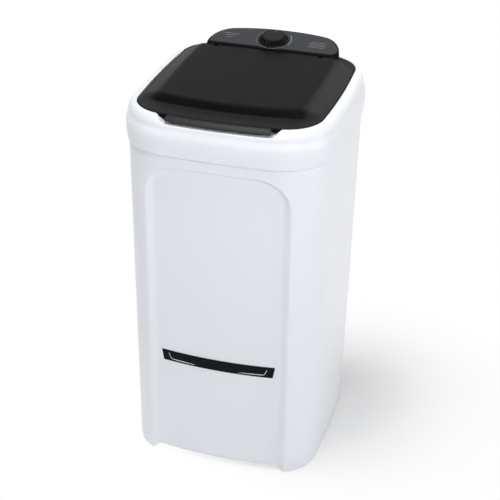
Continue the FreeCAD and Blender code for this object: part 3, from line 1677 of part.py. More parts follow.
def shield(name, low, flip):
    """A cup-shaped end shield with four bolt lugs and a pocket for its bush."""
    wall, height = s.motor_shield_wall, s.motor_shield_height
    boss = s.motor_bush_radius + wall
    deep = s.motor_bush_length
    outer = s.motor_radius
    profile = [
        (s.motor_bush_radius, 0),
        (outer, 0),
        (outer, height),
        (outer - wall, height),
        (outer - wall, wall),
        (boss, wall),
        (boss, deep),
        (s.motor_bush_radius, deep),
    ]
    if flip:
        profile = [(radius, height - level) for radius, level in profile]
    at = (0, s.motor_along, low)
    cup = turned(f"{name}_cup", profile, at)
    lugs, holes = [], []
    for x, y in bolt_places():
        lugs.append(cylinder(f"{name}_lug", s.motor_lug_radius, height, (x, y, low)))
        radius = s.motor_bolt_radius + s.fixing_gap
        holes.append(cylinder(f"{name}_bolt_hole", radius, height + OVER * 2, (x, y, low - OVER)))
    inside = (0, s.motor_along, low if flip else low + wall)
    hollow = cylinder(f"{name}_hollow", outer - wall, height - wall, inside)
    clear = cut(f"{name}_lugs", fuse(f"{name}_lug_set", *lugs), hollow)
    return node(name, cut(f"{name}_cut", fuse(f"{name}_body", cup, clear), *holes))


def bolt_places():
    step = s.motor_lug_ring * math.cos(math.pi / 4)
    return [(x, s.motor_along + y) for x, y in four(step, step)]


def make_motor():
    centre = (0, s.motor_along)
    shield("upper_end_shield", STATOR_TOP, True)
    shield("lower_end_shield", MOTOR_BOTTOM, False)
    bore = s.rotor_radius + s.air_gap
    nodes.append(tube("stator_core", bore, s.motor_radius, s.stator_height, (*centre, STATOR_BOTTOM)))
    coils = [
        tube("winding_end", s.winding_inner, s.winding_outer, s.winding_height, (*centre, level))
        for level in (STATOR_TOP, STATOR_BOTTOM - s.winding_height)
    ]
    group("stator_windings", coils)
    shaft = s.motor_shaft_radius
    core_low = STATOR_BOTTOM + s.rotor_end_gap
    core_height = s.stator_height - s.rotor_end_gap * 2
    nodes.append(tube("rotor_core", shaft + s.fixing_gap, s.rotor_radius, core_height, (*centre, core_low)))
    shaft_low = MOTOR_BOTTOM - s.motor_shaft_proud
    length = RIM_BOTTOM + RIM_HEIGHT + s.thread_proud - shaft_low
    node("motor_shaft", cylinder("motor_rod", shaft, length, (*centre, shaft_low)))
    bush = s.motor_bush_radius - s.fixing_gap
    bushes = [
        tube("motor_bush", shaft + s.running_gap, bush, s.motor_bush_length, (*centre, level))
        for level in (MOTOR_BOTTOM, MOTOR_TOP - s.motor_bush_length)
    ]
    group("motor_bushes", bushes)
    nut_height = s.motor_nut_height
    length = PLATE_TOP + nut_height + s.thread_proud - MOTOR_BOTTOM
    bolts, bolt_nuts = [], []
    for x, y in bolt_places():
        radius = s.motor_bolt_radius
        bolts.append(screw("motor_bolt", radius, length, (x, y, MOTOR_BOTTOM), X_AXIS, 180))
        bore = radius + s.fixing_gap
        bolt_nuts.append(hexagon("motor_nut", radius * 2, bore, nut_height, (x, y, PLATE_TOP)))
    group("motor_bolts", bolts)
    group("motor_nuts", bolt_nuts)


def post_places():
    return [(x, y) for x in (-s.post_across, s.post_across) for y in (s.post_front, s.post_back)]


def make_motor_plate():
    low = (-s.post_across - s.plate_margin, s.post_front - s.plate_margin, MOTOR_TOP)
    high = (s.post_across + s.plate_margin, s.post_back + s.plate_margin, PLATE_TOP)
    sheet = box("plate_sheet", low, high)
    radius = s.motor_bush_radius + s.motor_shield_wall
    holes = [cylinder("plate_hole", radius, CLEAR, (0, s.motor_along, MOTOR_TOP - OVER))]
    mounts, screws = [], []
    for x, y in bolt_places():
        radius = s.motor_bolt_radius + s.fixing_gap
        holes.append(cylinder("plate_bolt_hole", radius, CLEAR, (x, y, MOTOR_TOP - OVER)))
    shank = s.mount_screw_radius
    length = s.plate_thickness + s.mount_thickness + s.mount_screw_grip
    for x, y in post_places():
        holes.append(cylinder("plate_screw_hole", shank + s.screw_gap, CLEAR, (x, y, MOTOR_TOP - OVER)))
        at = (x, y, PLATE_TOP)
        mounts.append(tube("motor_mount", shank + s.seat_gap, s.mount_radius, s.mount_thickness, at))
        screws.append(screw("mount_screw", shank, length, (x, y, MOTOR_TOP), X_AXIS, 180))
    node("motor_plate", cut("plate_cut", sheet, *holes))
    group("motor_mounts", mounts)
    group("mount_screws", screws)


def clip_screw_place():
    edge = s.capacitor_across - s.capacitor_radius - s.clip_thickness
    return edge - s.clip_foot_length / 2, s.capacitor_along


def make_capacitor():
    x, y = s.capacitor_across, s.capacitor_along
    radius, clip, seam = s.capacitor_radius, s.clip_thickness, s.capacitor_seam
    low = TUB_UNDER - s.capacitor_clear - s.capacitor_length
    can = [
        (0, 0),
        (radius - seam / 2, 0),
        (radius, seam / 2),
        (radius, s.capacitor_length - seam),
        (radius - seam, s.capacitor_length - seam),
        (radius - seam, s.capacitor_length),
        (0, s.capacitor_length),
    ]
    nodes.append(turned("run_capacitor", can, (x, y, low)))
    band_low = low + s.capacitor_length / 2
    bore = radius + s.fixing_gap
    band = tube("clip_band", bore, radius + clip, s.clip_height, (x, y, band_low))
    half = s.clip_height / 2
    edge = x - radius - clip
    strip = box("clip_strip", (edge - clip, y - half, band_low), (edge + clip / 2, y + half, TUB_UNDER))
    foot_low = (edge - s.clip_foot_length, y - half, TUB_UNDER - clip)
    foot = box("clip_foot", foot_low, (edge, y + half, TUB_UNDER))
    place = clip_screw_place()
    hole_radius = s.clip_screw_radius + s.screw_gap
    hole = cylinder("clip_hole", hole_radius, CLEAR, (*place, TUB_UNDER - CLEAR / 2))
    node("capacitor_clip", cut("clip_cut", fuse("clip_body", band, strip, foot), hole))
    length = clip + s.clip_screw_grip
    at = (*place, TUB_UNDER - clip)
    node("clip_screw", screw("clip_fixing", s.clip_screw_radius, length, at, X_AXIS, 180))


# Drain and supply cord

def hose_form(name, radius, ends):
    """A hose that drops from the tub, bends once and runs to the rear."""
    x, y, z = s.drain_across, s.drain_along, s.drain_level
    bend = s.hose_bend
    top = TUB_UNDER - s.seat_gap
    end = spigot_front() - s.seat_gap
    drop = cylinder(f"{name}_drop", radius, top - z - bend + ends, (x, y, z + bend))
    run = cylinder(f"{name}_run", radius, end - y - bend + ends, (x, y + bend, z), X_AXIS, -90)
    elbow = doc.addObject("Part::Torus", f"{name}_elbow")
    elbow.setExpression("Radius1", bend.text)
    elbow.setExpression("Radius2", size_of(radius).text)
    elbow.Angle3 = 90
    turn = FreeCAD.Rotation(V(0, -1, 0), V(0, 0, -1), V(1, 0, 0), "XYZ")
    elbow.Placement = FreeCAD.Placement(V(), turn)
    put(elbow, (x, y + bend, z + bend))
    return fuse(name, drop, run, elbow)


def spigot_front():
    """Where the inner face of the spigot's flange lies along Y."""
    return rear_wall(s.drain_across, s.drain_level) - s.spigot_flange_thickness


def wall_form(name, level, inset):
    """A short stretch of the cabinet's form round a level."""
    return tapered(name, level - CLEAR * 2, level + CLEAR * 2, inset)


def make_spigot():
    """A hose tail at each side of a flange that is shaped to the rear wall's inner face."""
    x, front, z = s.drain_across, spigot_front(), s.drain_level
    low = front - s.spigot_inner_length
    seat = front + s.spigot_flange_thickness
    neck_end = seat + s.spigot_neck_length
    tail_end = neck_end + s.spigot_outer_length
    steps = (
        ("spigot_inner_tail", s.barb_radius, low, seat),
        ("spigot_neck", s.spigot_neck_radius, seat - OVER, neck_end),
        ("spigot_outer_tail", s.spigot_outer_radius, neck_end - OVER, tail_end),
    )
    tails = [
        cylinder(name, radius, end - start, (x, start, z), X_AXIS, -90)
        for name, radius, start, end in steps
    ]
    reach = s.spigot_flange_thickness + CLEAR
    disc = cylinder("spigot_disc", s.spigot_flange_radius, reach, (x, front, z), X_AXIS, -90)
    flange = common("spigot_flange", disc, wall_form("spigot_wall", z, s.cabinet_wall + s.seat_gap))
    at = (x, low - OVER, z)
    bore = cylinder("spigot_bore", s.drain_bore, tail_end - low + OVER * 2, at, X_AXIS, -90)
    node("drain_spigot", cut("spigot_cut", fuse("spigot_body", *tails, flange), bore))


def make_drain():
    x, y, z = s.drain_across, s.drain_along, s.drain_level
    outer = hose_form("hose_outer", HOSE_OUTER, size_of(0))
    bore = s.barb_radius + s.running_gap
    node("drain_hose", cut("hose_cut", outer, hose_form("hose_bore", bore, OVER)))
    make_spigot()
    ring = HOSE_OUTER + s.fixing_gap
    clip = ring + s.hose_clip_thickness
    width = s.hose_clip_width
    upper = tube("hose_clip_upper", ring, clip, width, (x, y, TUB_UNDER - s.drain_boss_length / 2))
    back = spigot_front() - s.spigot_inner_length / 2
    lower = tube("hose_clip_lower", ring, clip, width, (x, back, z), X_AXIS, -90)
    group("hose_clips", [upper, lower])
    plug = s.drain_bore - s.fixing_gap
    grille = turned("drain_grille", [
        (0, 0),
        (plug, 0),
        (plug, s.tub_floor_thickness),
        (s.grille_radius, s.tub_floor_thickness),
        (s.grille_radius, s.tub_floor_thickness + s.grille_thickness),
        (0, s.tub_floor_thickness + s.grille_thickness),
    ], (x, y, TUB_UNDER))
    ring = s.drain_bore - s.grille_hole_radius * 2
    ring_of_holes(grille, "grille_hole", s.grille_hole_radius, ring, 6)
    nodes.append(grille)


def make_gland():
    """A rubber bush for the supply cord, gripped by the rear wall between its two flanges."""
    x, z = s.gland_across, s.gland_level
    seat = rear_wall(x, z)
    thick, rim = s.gland_flange_thickness, s.gland_flange_radius
    near, length = seat - thick, s.cabinet_wall + thick * 2
    neck = cylinder("gland_neck", s.gland_hole - s.fixing_gap, length, (x, near, z), X_AXIS, -90)
    inner_disc = cylinder("gland_inner", rim, thick + CLEAR, (x, near, z), X_AXIS, -90)
    inside = wall_form("gland_inside", z, s.cabinet_wall + s.seat_gap)
    inner = common("gland_inner_flange", inner_disc, inside)
    outer_disc = cylinder("gland_outer", rim, length, (x, near, z), X_AXIS, -90)
    outer = cut("gland_outer_flange", outer_disc, wall_form("gland_outside", z, -s.seat_gap))
    at = (x, near - OVER, z)
    bore = cylinder("gland_bore", s.cord_radius, length + OVER * 2, at, X_AXIS, -90)
    node("cord_gland", cut("gland_cut", fuse("gland_body", neck, inner, outer), bore))


def build():
    make_cabinet()
    make_badge_strip()
    make_feet_and_guard()
    make_tub()
    make_filter()
    make_collar()
    make_lid()
    make_bumpers()
    make_deck()
    make_pod()
    make_timer()
    make_knob()
    make_pulsator()
    make_shaft()
    make_bearing()
    make_pulleys()
    make_motor()
    make_motor_plate()
    make_capacitor()
    make_drain()
    make_gland()
    doc.recompute()


def check():
    for part in doc.Objects:
        if "Invalid" in part.State or "Error" in part.State:
            raise RuntimeError(f"{part.Label} failed: {part.State}")
    for part in nodes:
        if part.Shape.isNull() or not part.Shape.isValid():
            raise RuntimeError(f"{part.Label} has no valid shape")


def write():
    os.makedirs("parts", exist_ok=True)
    for part in nodes:
        part.Shape.exportStep(f"parts/{part.Label}.step")
        box_of = part.Shape.BoundBox
        print(part.Label, len(part.Shape.Solids), round(part.Shape.Volume), box_of)


build()
check()
write()
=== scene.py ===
import json
import math

import bmesh
import bpy
from mathutils import Matrix, Vector


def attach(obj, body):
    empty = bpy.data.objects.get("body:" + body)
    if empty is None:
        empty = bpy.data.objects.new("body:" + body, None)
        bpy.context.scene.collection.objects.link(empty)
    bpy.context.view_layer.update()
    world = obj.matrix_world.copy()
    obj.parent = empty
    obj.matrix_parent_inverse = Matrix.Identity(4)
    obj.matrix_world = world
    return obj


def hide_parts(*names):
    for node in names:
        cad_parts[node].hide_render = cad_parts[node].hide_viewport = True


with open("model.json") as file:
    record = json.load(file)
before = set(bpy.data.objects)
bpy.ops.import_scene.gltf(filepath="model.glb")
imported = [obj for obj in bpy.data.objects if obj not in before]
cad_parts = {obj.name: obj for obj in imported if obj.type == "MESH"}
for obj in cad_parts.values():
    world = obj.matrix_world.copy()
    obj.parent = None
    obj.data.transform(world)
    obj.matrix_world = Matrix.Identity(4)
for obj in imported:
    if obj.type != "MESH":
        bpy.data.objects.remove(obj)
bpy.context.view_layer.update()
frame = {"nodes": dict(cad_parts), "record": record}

# Sizes of pieces are in millimetres and go to metres by MM. The stage, the lamps and the camera are in metres.
MM = 0.001


# Colours and materials

# The width of a slow drift of colour over a moulding, the depth of a grain's bumps, how far its gloss changes to
# each side, and the roughness of a clear coat.
DRIFT_SIZE = 111.0
GRAIN_DEPTH = 0.2
GLOSS_SPREAD = 0.06
COAT_ROUGH = 0.12


def srgb(text):
    """A linear colour from a six-digit sRGB hex code."""
    parts = [int(text[i:i + 2], 16) / 255 for i in (0, 2, 4)]
    return tuple(c / 12.92 if c <= 0.04045 else ((c + 0.055) / 1.055) ** 2.4 for c in parts) + (1.0,)


def feed(tree, item, inputs):
    """Sets a node's inputs, given by name or number, to values or links them to other sockets."""
    for name, value in inputs.items():
        if isinstance(value, bpy.types.NodeSocket):
            tree.links.new(value, item.inputs[name])
        else:
            item.inputs[name].default_value = value


def add(tree, kind, inputs=None, **settings):
    """Adds a node with its settings, input values and links."""
    item = tree.nodes.new(kind)
    for name, value in settings.items():
        setattr(item, name, value)
    feed(tree, item, inputs or {})
    return item


def surface(name, colour, rough, grain, grain_size, vary, metal=0.0, coat=0.0, shine=0.5):
    """A finish with a slow drift of colour, and with a fine grain in its gloss and its bumps."""
    material = bpy.data.materials.new(name)
    material.use_nodes = True
    tree = material.node_tree
    shader = tree.nodes["Principled BSDF"]
    place = add(tree, "ShaderNodeTexCoord").outputs["Object"]
    drift, fine = [
        add(tree, "ShaderNodeTexNoise", {
            "Vector": place, "Scale": 1 / (size * MM), "Detail": detail,
        }).outputs["Fac"]
        for size, detail in ((DRIFT_SIZE, 3.0), (grain_size, 2.0))
    ]
    low, high = [
        tuple(min(1.0, c * (1 + change)) for c in srgb(colour)[:3]) + (1.0,) for change in (-vary, vary)
    ]
    tone = add(tree, "ShaderNodeMix", {0: drift, 6: low, 7: high}, data_type="RGBA")
    gloss = add(tree, "ShaderNodeMapRange", {
        "Value": fine, "To Min": rough - GLOSS_SPREAD, "To Max": rough + GLOSS_SPREAD,
    })
    feed(tree, shader, {
        "Base Color": tone.outputs[2],
        "Roughness": gloss.outputs[0],
        "Metallic": metal,
        "Specular IOR Level": shine,
        "Coat Weight": coat,
        "Coat Roughness": COAT_ROUGH,
    })
    if grain:
        bump = add(tree, "ShaderNodeBump", {"Height": fine, "Strength": grain, "Distance": GRAIN_DEPTH * MM})
        feed(tree, shader, {"Normal": bump.outputs[0]})
    return material


# Each finish has a colour, a roughness, its grain's strength and size, and the share by which its colour drifts.
# The real grain of these mouldings, inks and metals is a tenth to a third of a millimetre wide. That is too fine
# for the render, so it is drawn coarser to show.
FINISH = {
    # ABS from a polished mould: glossy white with a faint cool tone and broad, soft highlights
    "white_shell": surface("white_moulded_abs", "E7EAF0", 0.30, 0.06, 1.43, 0.012, coat=0.15),
    # ABS from a finely textured mould: near black, with a faint sheen along the slopes, partly its gloss and
    # partly painted sheen
    "lid_plastic": surface("dark_satin_abs", "121013", 0.385, 0.10, 0.91, 0.05, shine=0.022),
    # the same plastic as a smaller moulding: a shade darker and duller than the lid
    "pod_plastic": surface("near_black_moulded_abs", "0E0E0F", 0.42, 0.10, 0.91, 0.05, shine=0.03),
    # polyester film printed on its back: an even grey that lifts a little at low angles
    "panel_film": surface("grey_printed_polyester", "303235", 0.44, 0.05, 0.67, 0.04, shine=0.14),
    # ABS from a polished mould: deep black with small bright points on the flutes
    "knob_plastic": surface("black_polished_abs", "060606", 0.14, 0.08, 0.77, 0.05, shine=0.06),
    # moulded ABS: a plain grey mark that stands out from the knob
    "marker_plastic": surface("grey_moulded_abs", "4A4B4C", 0.4, 0.05, 0.77, 0.03),
    # polished acrylic: a smooth, blue-tinged black without grain
    "strip_plastic": surface("black_polished_acrylic", "0A1115", 0.18, 0.0, 1.67, 0.06, shine=0.08),
    # moulded polypropylene: a slightly waxy white, duller than the cabinet
    "tub_plastic": surface("white_moulded_polypropylene", "DDE1E3", 0.42, 0.10, 1.67, 0.03),
    # moulded polypropylene: waxy blue-grey
    "pulsator_plastic": surface("grey_blue_moulded_polypropylene", "9FA8AE", 0.40, 0.10, 1.43, 0.04),
    # moulded polypropylene: waxy pale blue
    "filter_plastic": surface("pale_blue_moulded_polypropylene", "B7C6D2", 0.40, 0.08, 1.43, 0.04),
    # woven nylon net: off-white and matt, broken up by its threads, which are drawn coarser to show
    "filter_mesh": surface("white_woven_nylon", "E4E6E2", 0.65, 0.35, 0.38, 0.06),
    # moulded nylon: dull cream
    "timer_case": surface("cream_moulded_nylon", "D9D4C4", 0.50, 0.12, 1.11, 0.05),
    # moulded polypropylene: dull mid grey
    "guard_plastic": surface("grey_moulded_polypropylene", "8C9093", 0.50, 0.15, 1.67, 0.05),
    # moulded rubber: matt black with an uneven, dusty tone
    "black_rubber": surface("matt_moulded_rubber", "1B1B1B", 0.72, 0.25, 1.25, 0.10),
    # zinc-plated steel: pale metal with a soft, cloudy shine
    "zinc_steel": surface("zinc_plated_steel", "B9BCBE", 0.34, 0.10, 2.0, 0.08, metal=1.0),
    # ground steel: bright metal with a clear shine
    "bright_steel": surface("ground_steel", "C4C6C8", 0.22, 0.06, 1.11, 0.05, metal=1.0),
    # sprayed enamel on steel: even grey with a slight orange-peel ripple
    "painted_steel": surface("grey_painted_steel", "6E7376", 0.45, 0.15, 2.5, 0.05),
    # die-cast aluminium: dull silver with a rough skin
    "cast_metal": surface("cast_aluminium", "A7A9AA", 0.48, 0.35, 2.86, 0.10, metal=1.0),
    # stacked sheets of silicon steel: dark metal with an uneven tone
    "core_steel": surface("stacked_silicon_steel", "55585B", 0.46, 0.20, 3.33, 0.12, metal=1.0),
    # wound enamelled copper wire: uneven red-brown with a lacquered shine, its half-millimetre turns drawn coarser
    "enamelled_wire": surface("enamelled_copper_wire", "A4552B", 0.36, 0.45, 3.85, 0.18, metal=0.7),
    # sintered bronze: dull yellow-brown with fine pores
    "bearing_bronze": surface("sintered_bronze", "9C7A45", 0.44, 0.20, 2.0, 0.10, metal=1.0),
    # moulded polyester: smooth pale grey
    "capacitor_case": surface("grey_moulded_polyester", "9EA3A6", 0.40, 0.08, 1.25, 0.04),
}
# moulded ABS with a dull texture: the knob's flat top, painted greyer than its black grip as painted light on the
# top
CAP_TOP_LIGHT_FINISH = surface("dull_abs_painted_top_light", "1B1B1C", 0.5, 0.12, 0.77, 0.06, shine=0.10)
# the lid's plastic at its lip, painted a little paler than the lid's top: a painted sheen for the light the lip
# catches
LIP_SHEEN_FINISH = surface("satin_abs_painted_sheen", "2B2A2C", 0.34, 0.10, 0.91, 0.05, shine=0.08)
# hot-stamped foil: pale silver that mirrors the bright room
SILVER = surface("silver_hot_foil", "C6CACC", 0.24, 0.05, 1.11, 0.05, metal=0.9)
# screen-printed inks: thin, matt colours that stay quiet on the grey film
ROSE_INK = surface("rose_print_ink", "7C4650", 0.55, 0.05, 0.67, 0.05)
TEAL_INK = surface("teal_print_ink", "46696C", 0.55, 0.05, 0.67, 0.05)
PALE_INK = surface("pale_print_ink", "84888C", 0.55, 0.05, 0.67, 0.05)

# Painted sheen: the lid's finish is painted paler low on its brim and far out on its flanks, where these catch
# light, but not on the brim's outer edge. Each pair holds where the painted sheen starts and where it is full.
PAINTED_SHEEN_TONE = "262527"
SHEEN_BRIM_LEVELS = (822.6, 820.8)
SHEEN_FLANK_REACH = (152.0, 164.0)
SHEEN_EDGE_LEVELS = (819.4, 819.8)


def paint_lid_sheen(material):
    """Mixes the painted sheen, a paler tone, into the lid's finish."""
    tree = material.node_tree
    shader = tree.nodes["Principled BSDF"]
    plain = shader.inputs["Base Color"].links[0].from_socket
    place = add(tree, "ShaderNodeTexCoord").outputs["Object"]
    split = add(tree, "ShaderNodeSeparateXYZ", {"Vector": place}).outputs
    across = add(tree, "ShaderNodeMath", {0: split["X"]}, operation="ABSOLUTE").outputs[0]
    brim, flank, edge = [
        add(tree, "ShaderNodeMapRange", {
            "Value": value, "From Min": start * MM, "From Max": full * MM,
        }).outputs[0]
        for value, (start, full) in (
            (split["Z"], SHEEN_BRIM_LEVELS), (across, SHEEN_FLANK_REACH), (split["Z"], SHEEN_EDGE_LEVELS),
        )
    ]
    either = add(tree, "ShaderNodeMath", {0: brim, 1: flank}, operation="MAXIMUM").outputs[0]
    share = add(tree, "ShaderNodeMath", {0: either, 1: edge}, operation="MULTIPLY").outputs[0]
    tone = add(tree, "ShaderNodeMix", {0: share, 6: plain, 7: srgb(PAINTED_SHEEN_TONE)}, data_type="RGBA")
    feed(tree, shader, {"Base Color": tone.outputs[2]})


# painted sheen on the lid's brim and flanks
paint_lid_sheen(FINISH["lid_plastic"])

for part in frame["record"]["subparts"]:
    mesh = frame["nodes"][part["node"]].data
    mesh.materials.clear()
    mesh.materials.append(FINISH[part["material_slot"]])


# Outlines

class Outline:
    """A rectangle with bowed sides and round corners, as eight tangent arcs from the front.

    It is given by its half width, half depth, corner radius, the radii of its front and side bows, and how far
    back its centre lies.
    """

    def __init__(self, width, depth, corner, front, side, centre=0.0):
        self.sizes = (width, depth, corner, front, side, centre)
        front_centre = front - depth
        side_centre = side - width
        reach = math.hypot(side_centre, front_centre)
        along = ((front - corner) ** 2 - (side - corner) ** 2 + reach ** 2) / (2 * reach)
        across = math.sqrt((front - corner) ** 2 - along ** 2)
        cx = (-side_centre * along + front_centre * across) / reach
        cy = (front_centre * along + side_centre * across) / reach - front_centre
        steep = math.atan2(-cy - front_centre, cx)
        flat = math.atan2(-cy, cx + side_centre)
        half = math.pi
        self.centre = centre
        self.arcs = [
            (0, front_centre, front, -half - steep, steep),
            (cx, -cy, corner, steep, flat),
            (-side_centre, 0, side, flat, -flat),
            (cx, cy, corner, -flat, -steep),
            (0, -front_centre, front, -steep, half + steep),
            (-cx, cy, corner, half + steep, half + flat),
            (side_centre, 0, side, half + flat, half - flat),
            (-cx, -cy, corner, half - flat, half - steep),
        ]

    def grown(self, amount):
        """The outline moved out by an amount all round."""
        *sizes, centre = self.sizes
        return Outline(*(size + amount for size in sizes), centre)

    def at(self, place):
        """The point at a place from 0 to 8, one unit for each arc."""
        index = min(int(place), 7)
        x, y, radius, start, end = self.arcs[index]
        turn = start + (end - start) * (place - index)
        return x + radius * math.cos(turn), y + radius * math.sin(turn) + self.centre

    def place_of(self, index, axis, value):
        """The place on one arc where a coordinate has a value."""
        low, high = index, index + 1 - 1e-9
        rising = self.at(high)[axis] > self.at(low)[axis]
        for _ in range(50):
            middle = (low + high) / 2
            if (self.at(middle)[axis] < value) == rising:
                low = middle
            else:
                high = middle
        return (low + high) / 2


def mixed(one, other, share):
    """Values part of the way from one set to another."""
    return tuple(a + (b - a) * share for a, b in zip(one, other))


def smooth(low, high, value):
    """An eased climb from 0 at the low value to 1 at the high one."""
    share = min(1.0, max(0.0, (value - low) / (high - low)))
    return share * share * (3 - 2 * share)


def soft_min(a, b, reach):
    """The smaller of two values, with a rounded change-over."""
    share = min(1.0, max(0.0, 0.5 + 0.5 * (b - a) / reach))
    return b + (a - b) * share - reach * share * (1 - share)


def spaced(start, end, count):
    """Evenly spaced values that leave out the end."""
    return [start + (end - start) * i / count for i in range(count)]


POD_HALF, POD_DEPTH, POD_FRONT = 146.0, 73.0, 147.0
CABINET_BASE = Outline(206, 219, 95, 1700, 2900)
CABINET_TOP = Outline(217.3, 229.8, 113, 1700, 2900)
LID = Outline(195.5, 217, 78, 1118, 2222, 3)
LID_OPENING = LID.grown(1.3)
TUB_OPENING = Outline(182, 200, 68, 1118, 2222)
POD = Outline(POD_HALF, POD_DEPTH, 56, 500, 1500, POD_FRONT)


# Mesh building

def sheet(columns, rows, place):
    """A grid of faces whose points are set by a function of a column and a row."""
    bm = bmesh.new()
    across, up = len(columns) - 1, len(rows) - 1
    bmesh.ops.create_grid(bm, x_segments=across, y_segments=up, size=0.5)
    for vert in bm.verts:
        column = columns[round((vert.co.x + 0.5) * across)]
        row = rows[round((vert.co.y + 0.5) * up)]
        vert.co = Vector(place(column, row)) * MM
    bmesh.ops.remove_doubles(bm, verts=bm.verts, dist=1e-6)
    bmesh.ops.recalc_face_normals(bm, faces=bm.faces)
    return bm


def loops_sheet(loops):
    """Faces between loops of points."""
    return sheet(range(len(loops[0])), range(len(loops)), lambda column, row: loops[row][column])


def piece(name, bm, body, slot, material, *nodes):
    """Turns a mesh into a smooth-shaded piece that rides on a body and stands for CAD nodes."""
    mesh = bpy.data.meshes.new(name)
    for face in bm.faces:
        face.smooth = True
    bm.to_mesh(mesh)
    bm.free()
    mesh.materials.append(material)
    item = bpy.data.objects.new(name, mesh)
    bpy.context.scene.collection.objects.link(item)
    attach(item, body)
    if nodes:
        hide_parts(*nodes)
    return item


def round_edges(bm, verts, radius, steps):
    """Bevels all the edges at some vertices."""
    edges = list({edge for vert in verts for edge in vert.link_edges})
    bmesh.ops.bevel(
        bm, geom=edges, offset=radius * MM, segments=steps, profile=0.5, affect="EDGES", material=-1
    )


def add_block(bm, low, high, radius):
    """A block with rounded edges between two corners."""
    verts = bmesh.ops.create_cube(bm, size=1.0)["verts"]
    for vert in verts:
        share = [c + 0.5 for c in vert.co]
        vert.co = Vector([a + (b - a) * t for a, b, t in zip(low, high, share)]) * MM
    round_edges(bm, verts, radius, 2)


def add_disc(bm, x, y, low, high, radius):
    """An upright disc between two levels."""
    middle = Matrix.Translation(Vector((x, y, (low + high) / 2)) * MM)
    bmesh.ops.create_cone(
        bm, cap_ends=True, segments=48, radius1=radius * MM, radius2=radius * MM,
        depth=(high - low) * MM, matrix=middle,
    )


# Cabinet

WALL = 3.5
FLOOR_GAP = 2.0
CABINET_HEIGHT = 760.0

# The arched recess: its half width, top and upper corners, the width of its ramps at the sides and the top, and
# how early these fall away.
RECESS_HALF, RECESS_TOP, RECESS_CORNER = 154.5, 715.0, 70.0
SIDE_RAMP, TOP_RAMP = 21.0, 7.5
RAMP_EASE = 0.75

# The recess floor: how far forward it lies at the bottom, how much further at the top, and its bow's radius.
PANEL_LOW, PANEL_LEAN, PANEL_BOW = 208.0, 10.8, 850.0

# The front's lower edge is lifted between the corners, and the lift fades out over a height.
EDGE_LIFT, LIFT_HEIGHT = 9.3, 60.0
LIFT_END, LIFT_FOOT = 133.0, 153.0

# Pads inside the corners, over the feet.
PAD_ACROSS, PAD_DEEP, PAD_RADIUS = 150.0, 163.0, 37.0
PAD_LOW, PAD_HIGH = 14.0, 20.0


def height_share(level):
    """How far up the cabinet a level lies, from 0 at its lower edge to 1 at its top."""
    return (level - FLOOR_GAP) / (CABINET_HEIGHT - FLOOR_GAP)


def panel_front(x, level):
    """How far forward the recess floor lies."""
    return PANEL_LOW + PANEL_LEAN * height_share(level) - (PANEL_BOW - math.sqrt(PANEL_BOW ** 2 - x * x))


def recess_share(x, level):
    """How far into the arched recess a point of the front lies, from 0 outside to 1 on its floor."""
    over_side = abs(x) - (RECESS_HALF - RECESS_CORNER)
    over_top = level - (RECESS_TOP - RECESS_CORNER)
    if over_side > 0 and over_top > 0:
        out = math.hypot(over_side, over_top)
        upright = over_top / max(1e-6, out)
    else:
        out = max(over_side, over_top)
        upright = 1.0 if over_top > over_side else 0.0
    ramp = SIDE_RAMP + (TOP_RAMP - SIDE_RAMP) * upright
    share = min(1.0, max(0.0, (RECESS_CORNER - out) / ramp))
    return smooth(0.0, 1.0, share ** RAMP_EASE)


def cabinet_point(column, row):
    """A point of the tapered shell, set back where it lies in the recess."""
    level, inset = row
    low, high = [outline.grown(-inset).at(column) for outline in (CABINET_BASE, CABINET_TOP)]
    x, y = mixed(low, high, height_share(level))
    if y < 0:
        fade = max(0.0, 1 - (level - FLOOR_GAP) / LIFT_HEIGHT)
        level += EDGE_LIFT * (1 - smooth(LIFT_END, LIFT_FOOT, abs(x))) * fade
        y += (-panel_front(x, level) + inset - y) * recess_share(x, level)
    return x, y, level


def cabinet_columns():
    """Places round the cabinet, close together across the front and its corners, where the ramps lie."""
    edge = CABINET_TOP.at(1.0)[0]
    columns = [CABINET_TOP.place_of(0, 0, x) for x in spaced(-edge, edge, 92)]
    near = CABINET_TOP.place_of(1, 0, 166.0)
    columns += spaced(1.0, near, 44) + spaced(near, 2.0, 16)
    columns += spaced(2.0, 3.0, 10) + spaced(3.0, 4.0, 18) + spaced(4.0, 5.0, 12)
    columns += spaced(5.0, 6.0, 18) + spaced(6.0, 7.0, 10)
    columns += spaced(7.0, 9.0 - near, 16) + spaced(9.0 - near, 8.0, 44)
    return columns + [8.0]


def cabinet_rows():
    """Levels and insets up the outside, over the top edge, down the inside and round the lower edge."""
    outside = [3.4, 8, 20, 40, 62, 150, 300, 450, 560, 600]
    outside += spaced(616.0, 700.0, 46) + spaced(700.0, 726.0, 30) + [726]
    groove = [(735.8, 0.0), (736.5, 0.3), (736.8, 0.8), (736.8, 1.3), (737.4, 1.5), (741, 1.5), (744, 0.2)]
    top_edge = [(758.6, 0.0), (759.6, 0.4), (760.0, 1.4), (760.0, WALL - 1.0), (759.6, WALL)]
    inside = [740, 724, 712, 700, 688, 676, 664, 652, 640, 600, 450, 300, 150, 62, 20, 3.4]
    low_edge = [(2.4, WALL - 0.4), (2.0, WALL - 1.3), (2.0, 1.3), (2.4, 0.4), (3.4, 0.0)]
    rows = [(level, 0.0) for level in outside] + groove + top_edge
    return rows + [(level, WALL) for level in inside] + low_edge


cabinet_mesh = sheet(cabinet_columns(), cabinet_rows(), cabinet_point)
for pad_x in (-PAD_ACROSS, PAD_ACROSS):
    for pad_y in (-PAD_DEEP, PAD_DEEP):
        add_disc(cabinet_mesh, pad_x, pad_y, PAD_LOW, PAD_HIGH, PAD_RADIUS)
piece("cabinet_shell", cabinet_mesh, "cabinet", "white_shell", FINISH["white_shell"], "cabinet")


# Top collar

RIM = 820.0
SEAT = 810.0
SHOULDER = 797.0

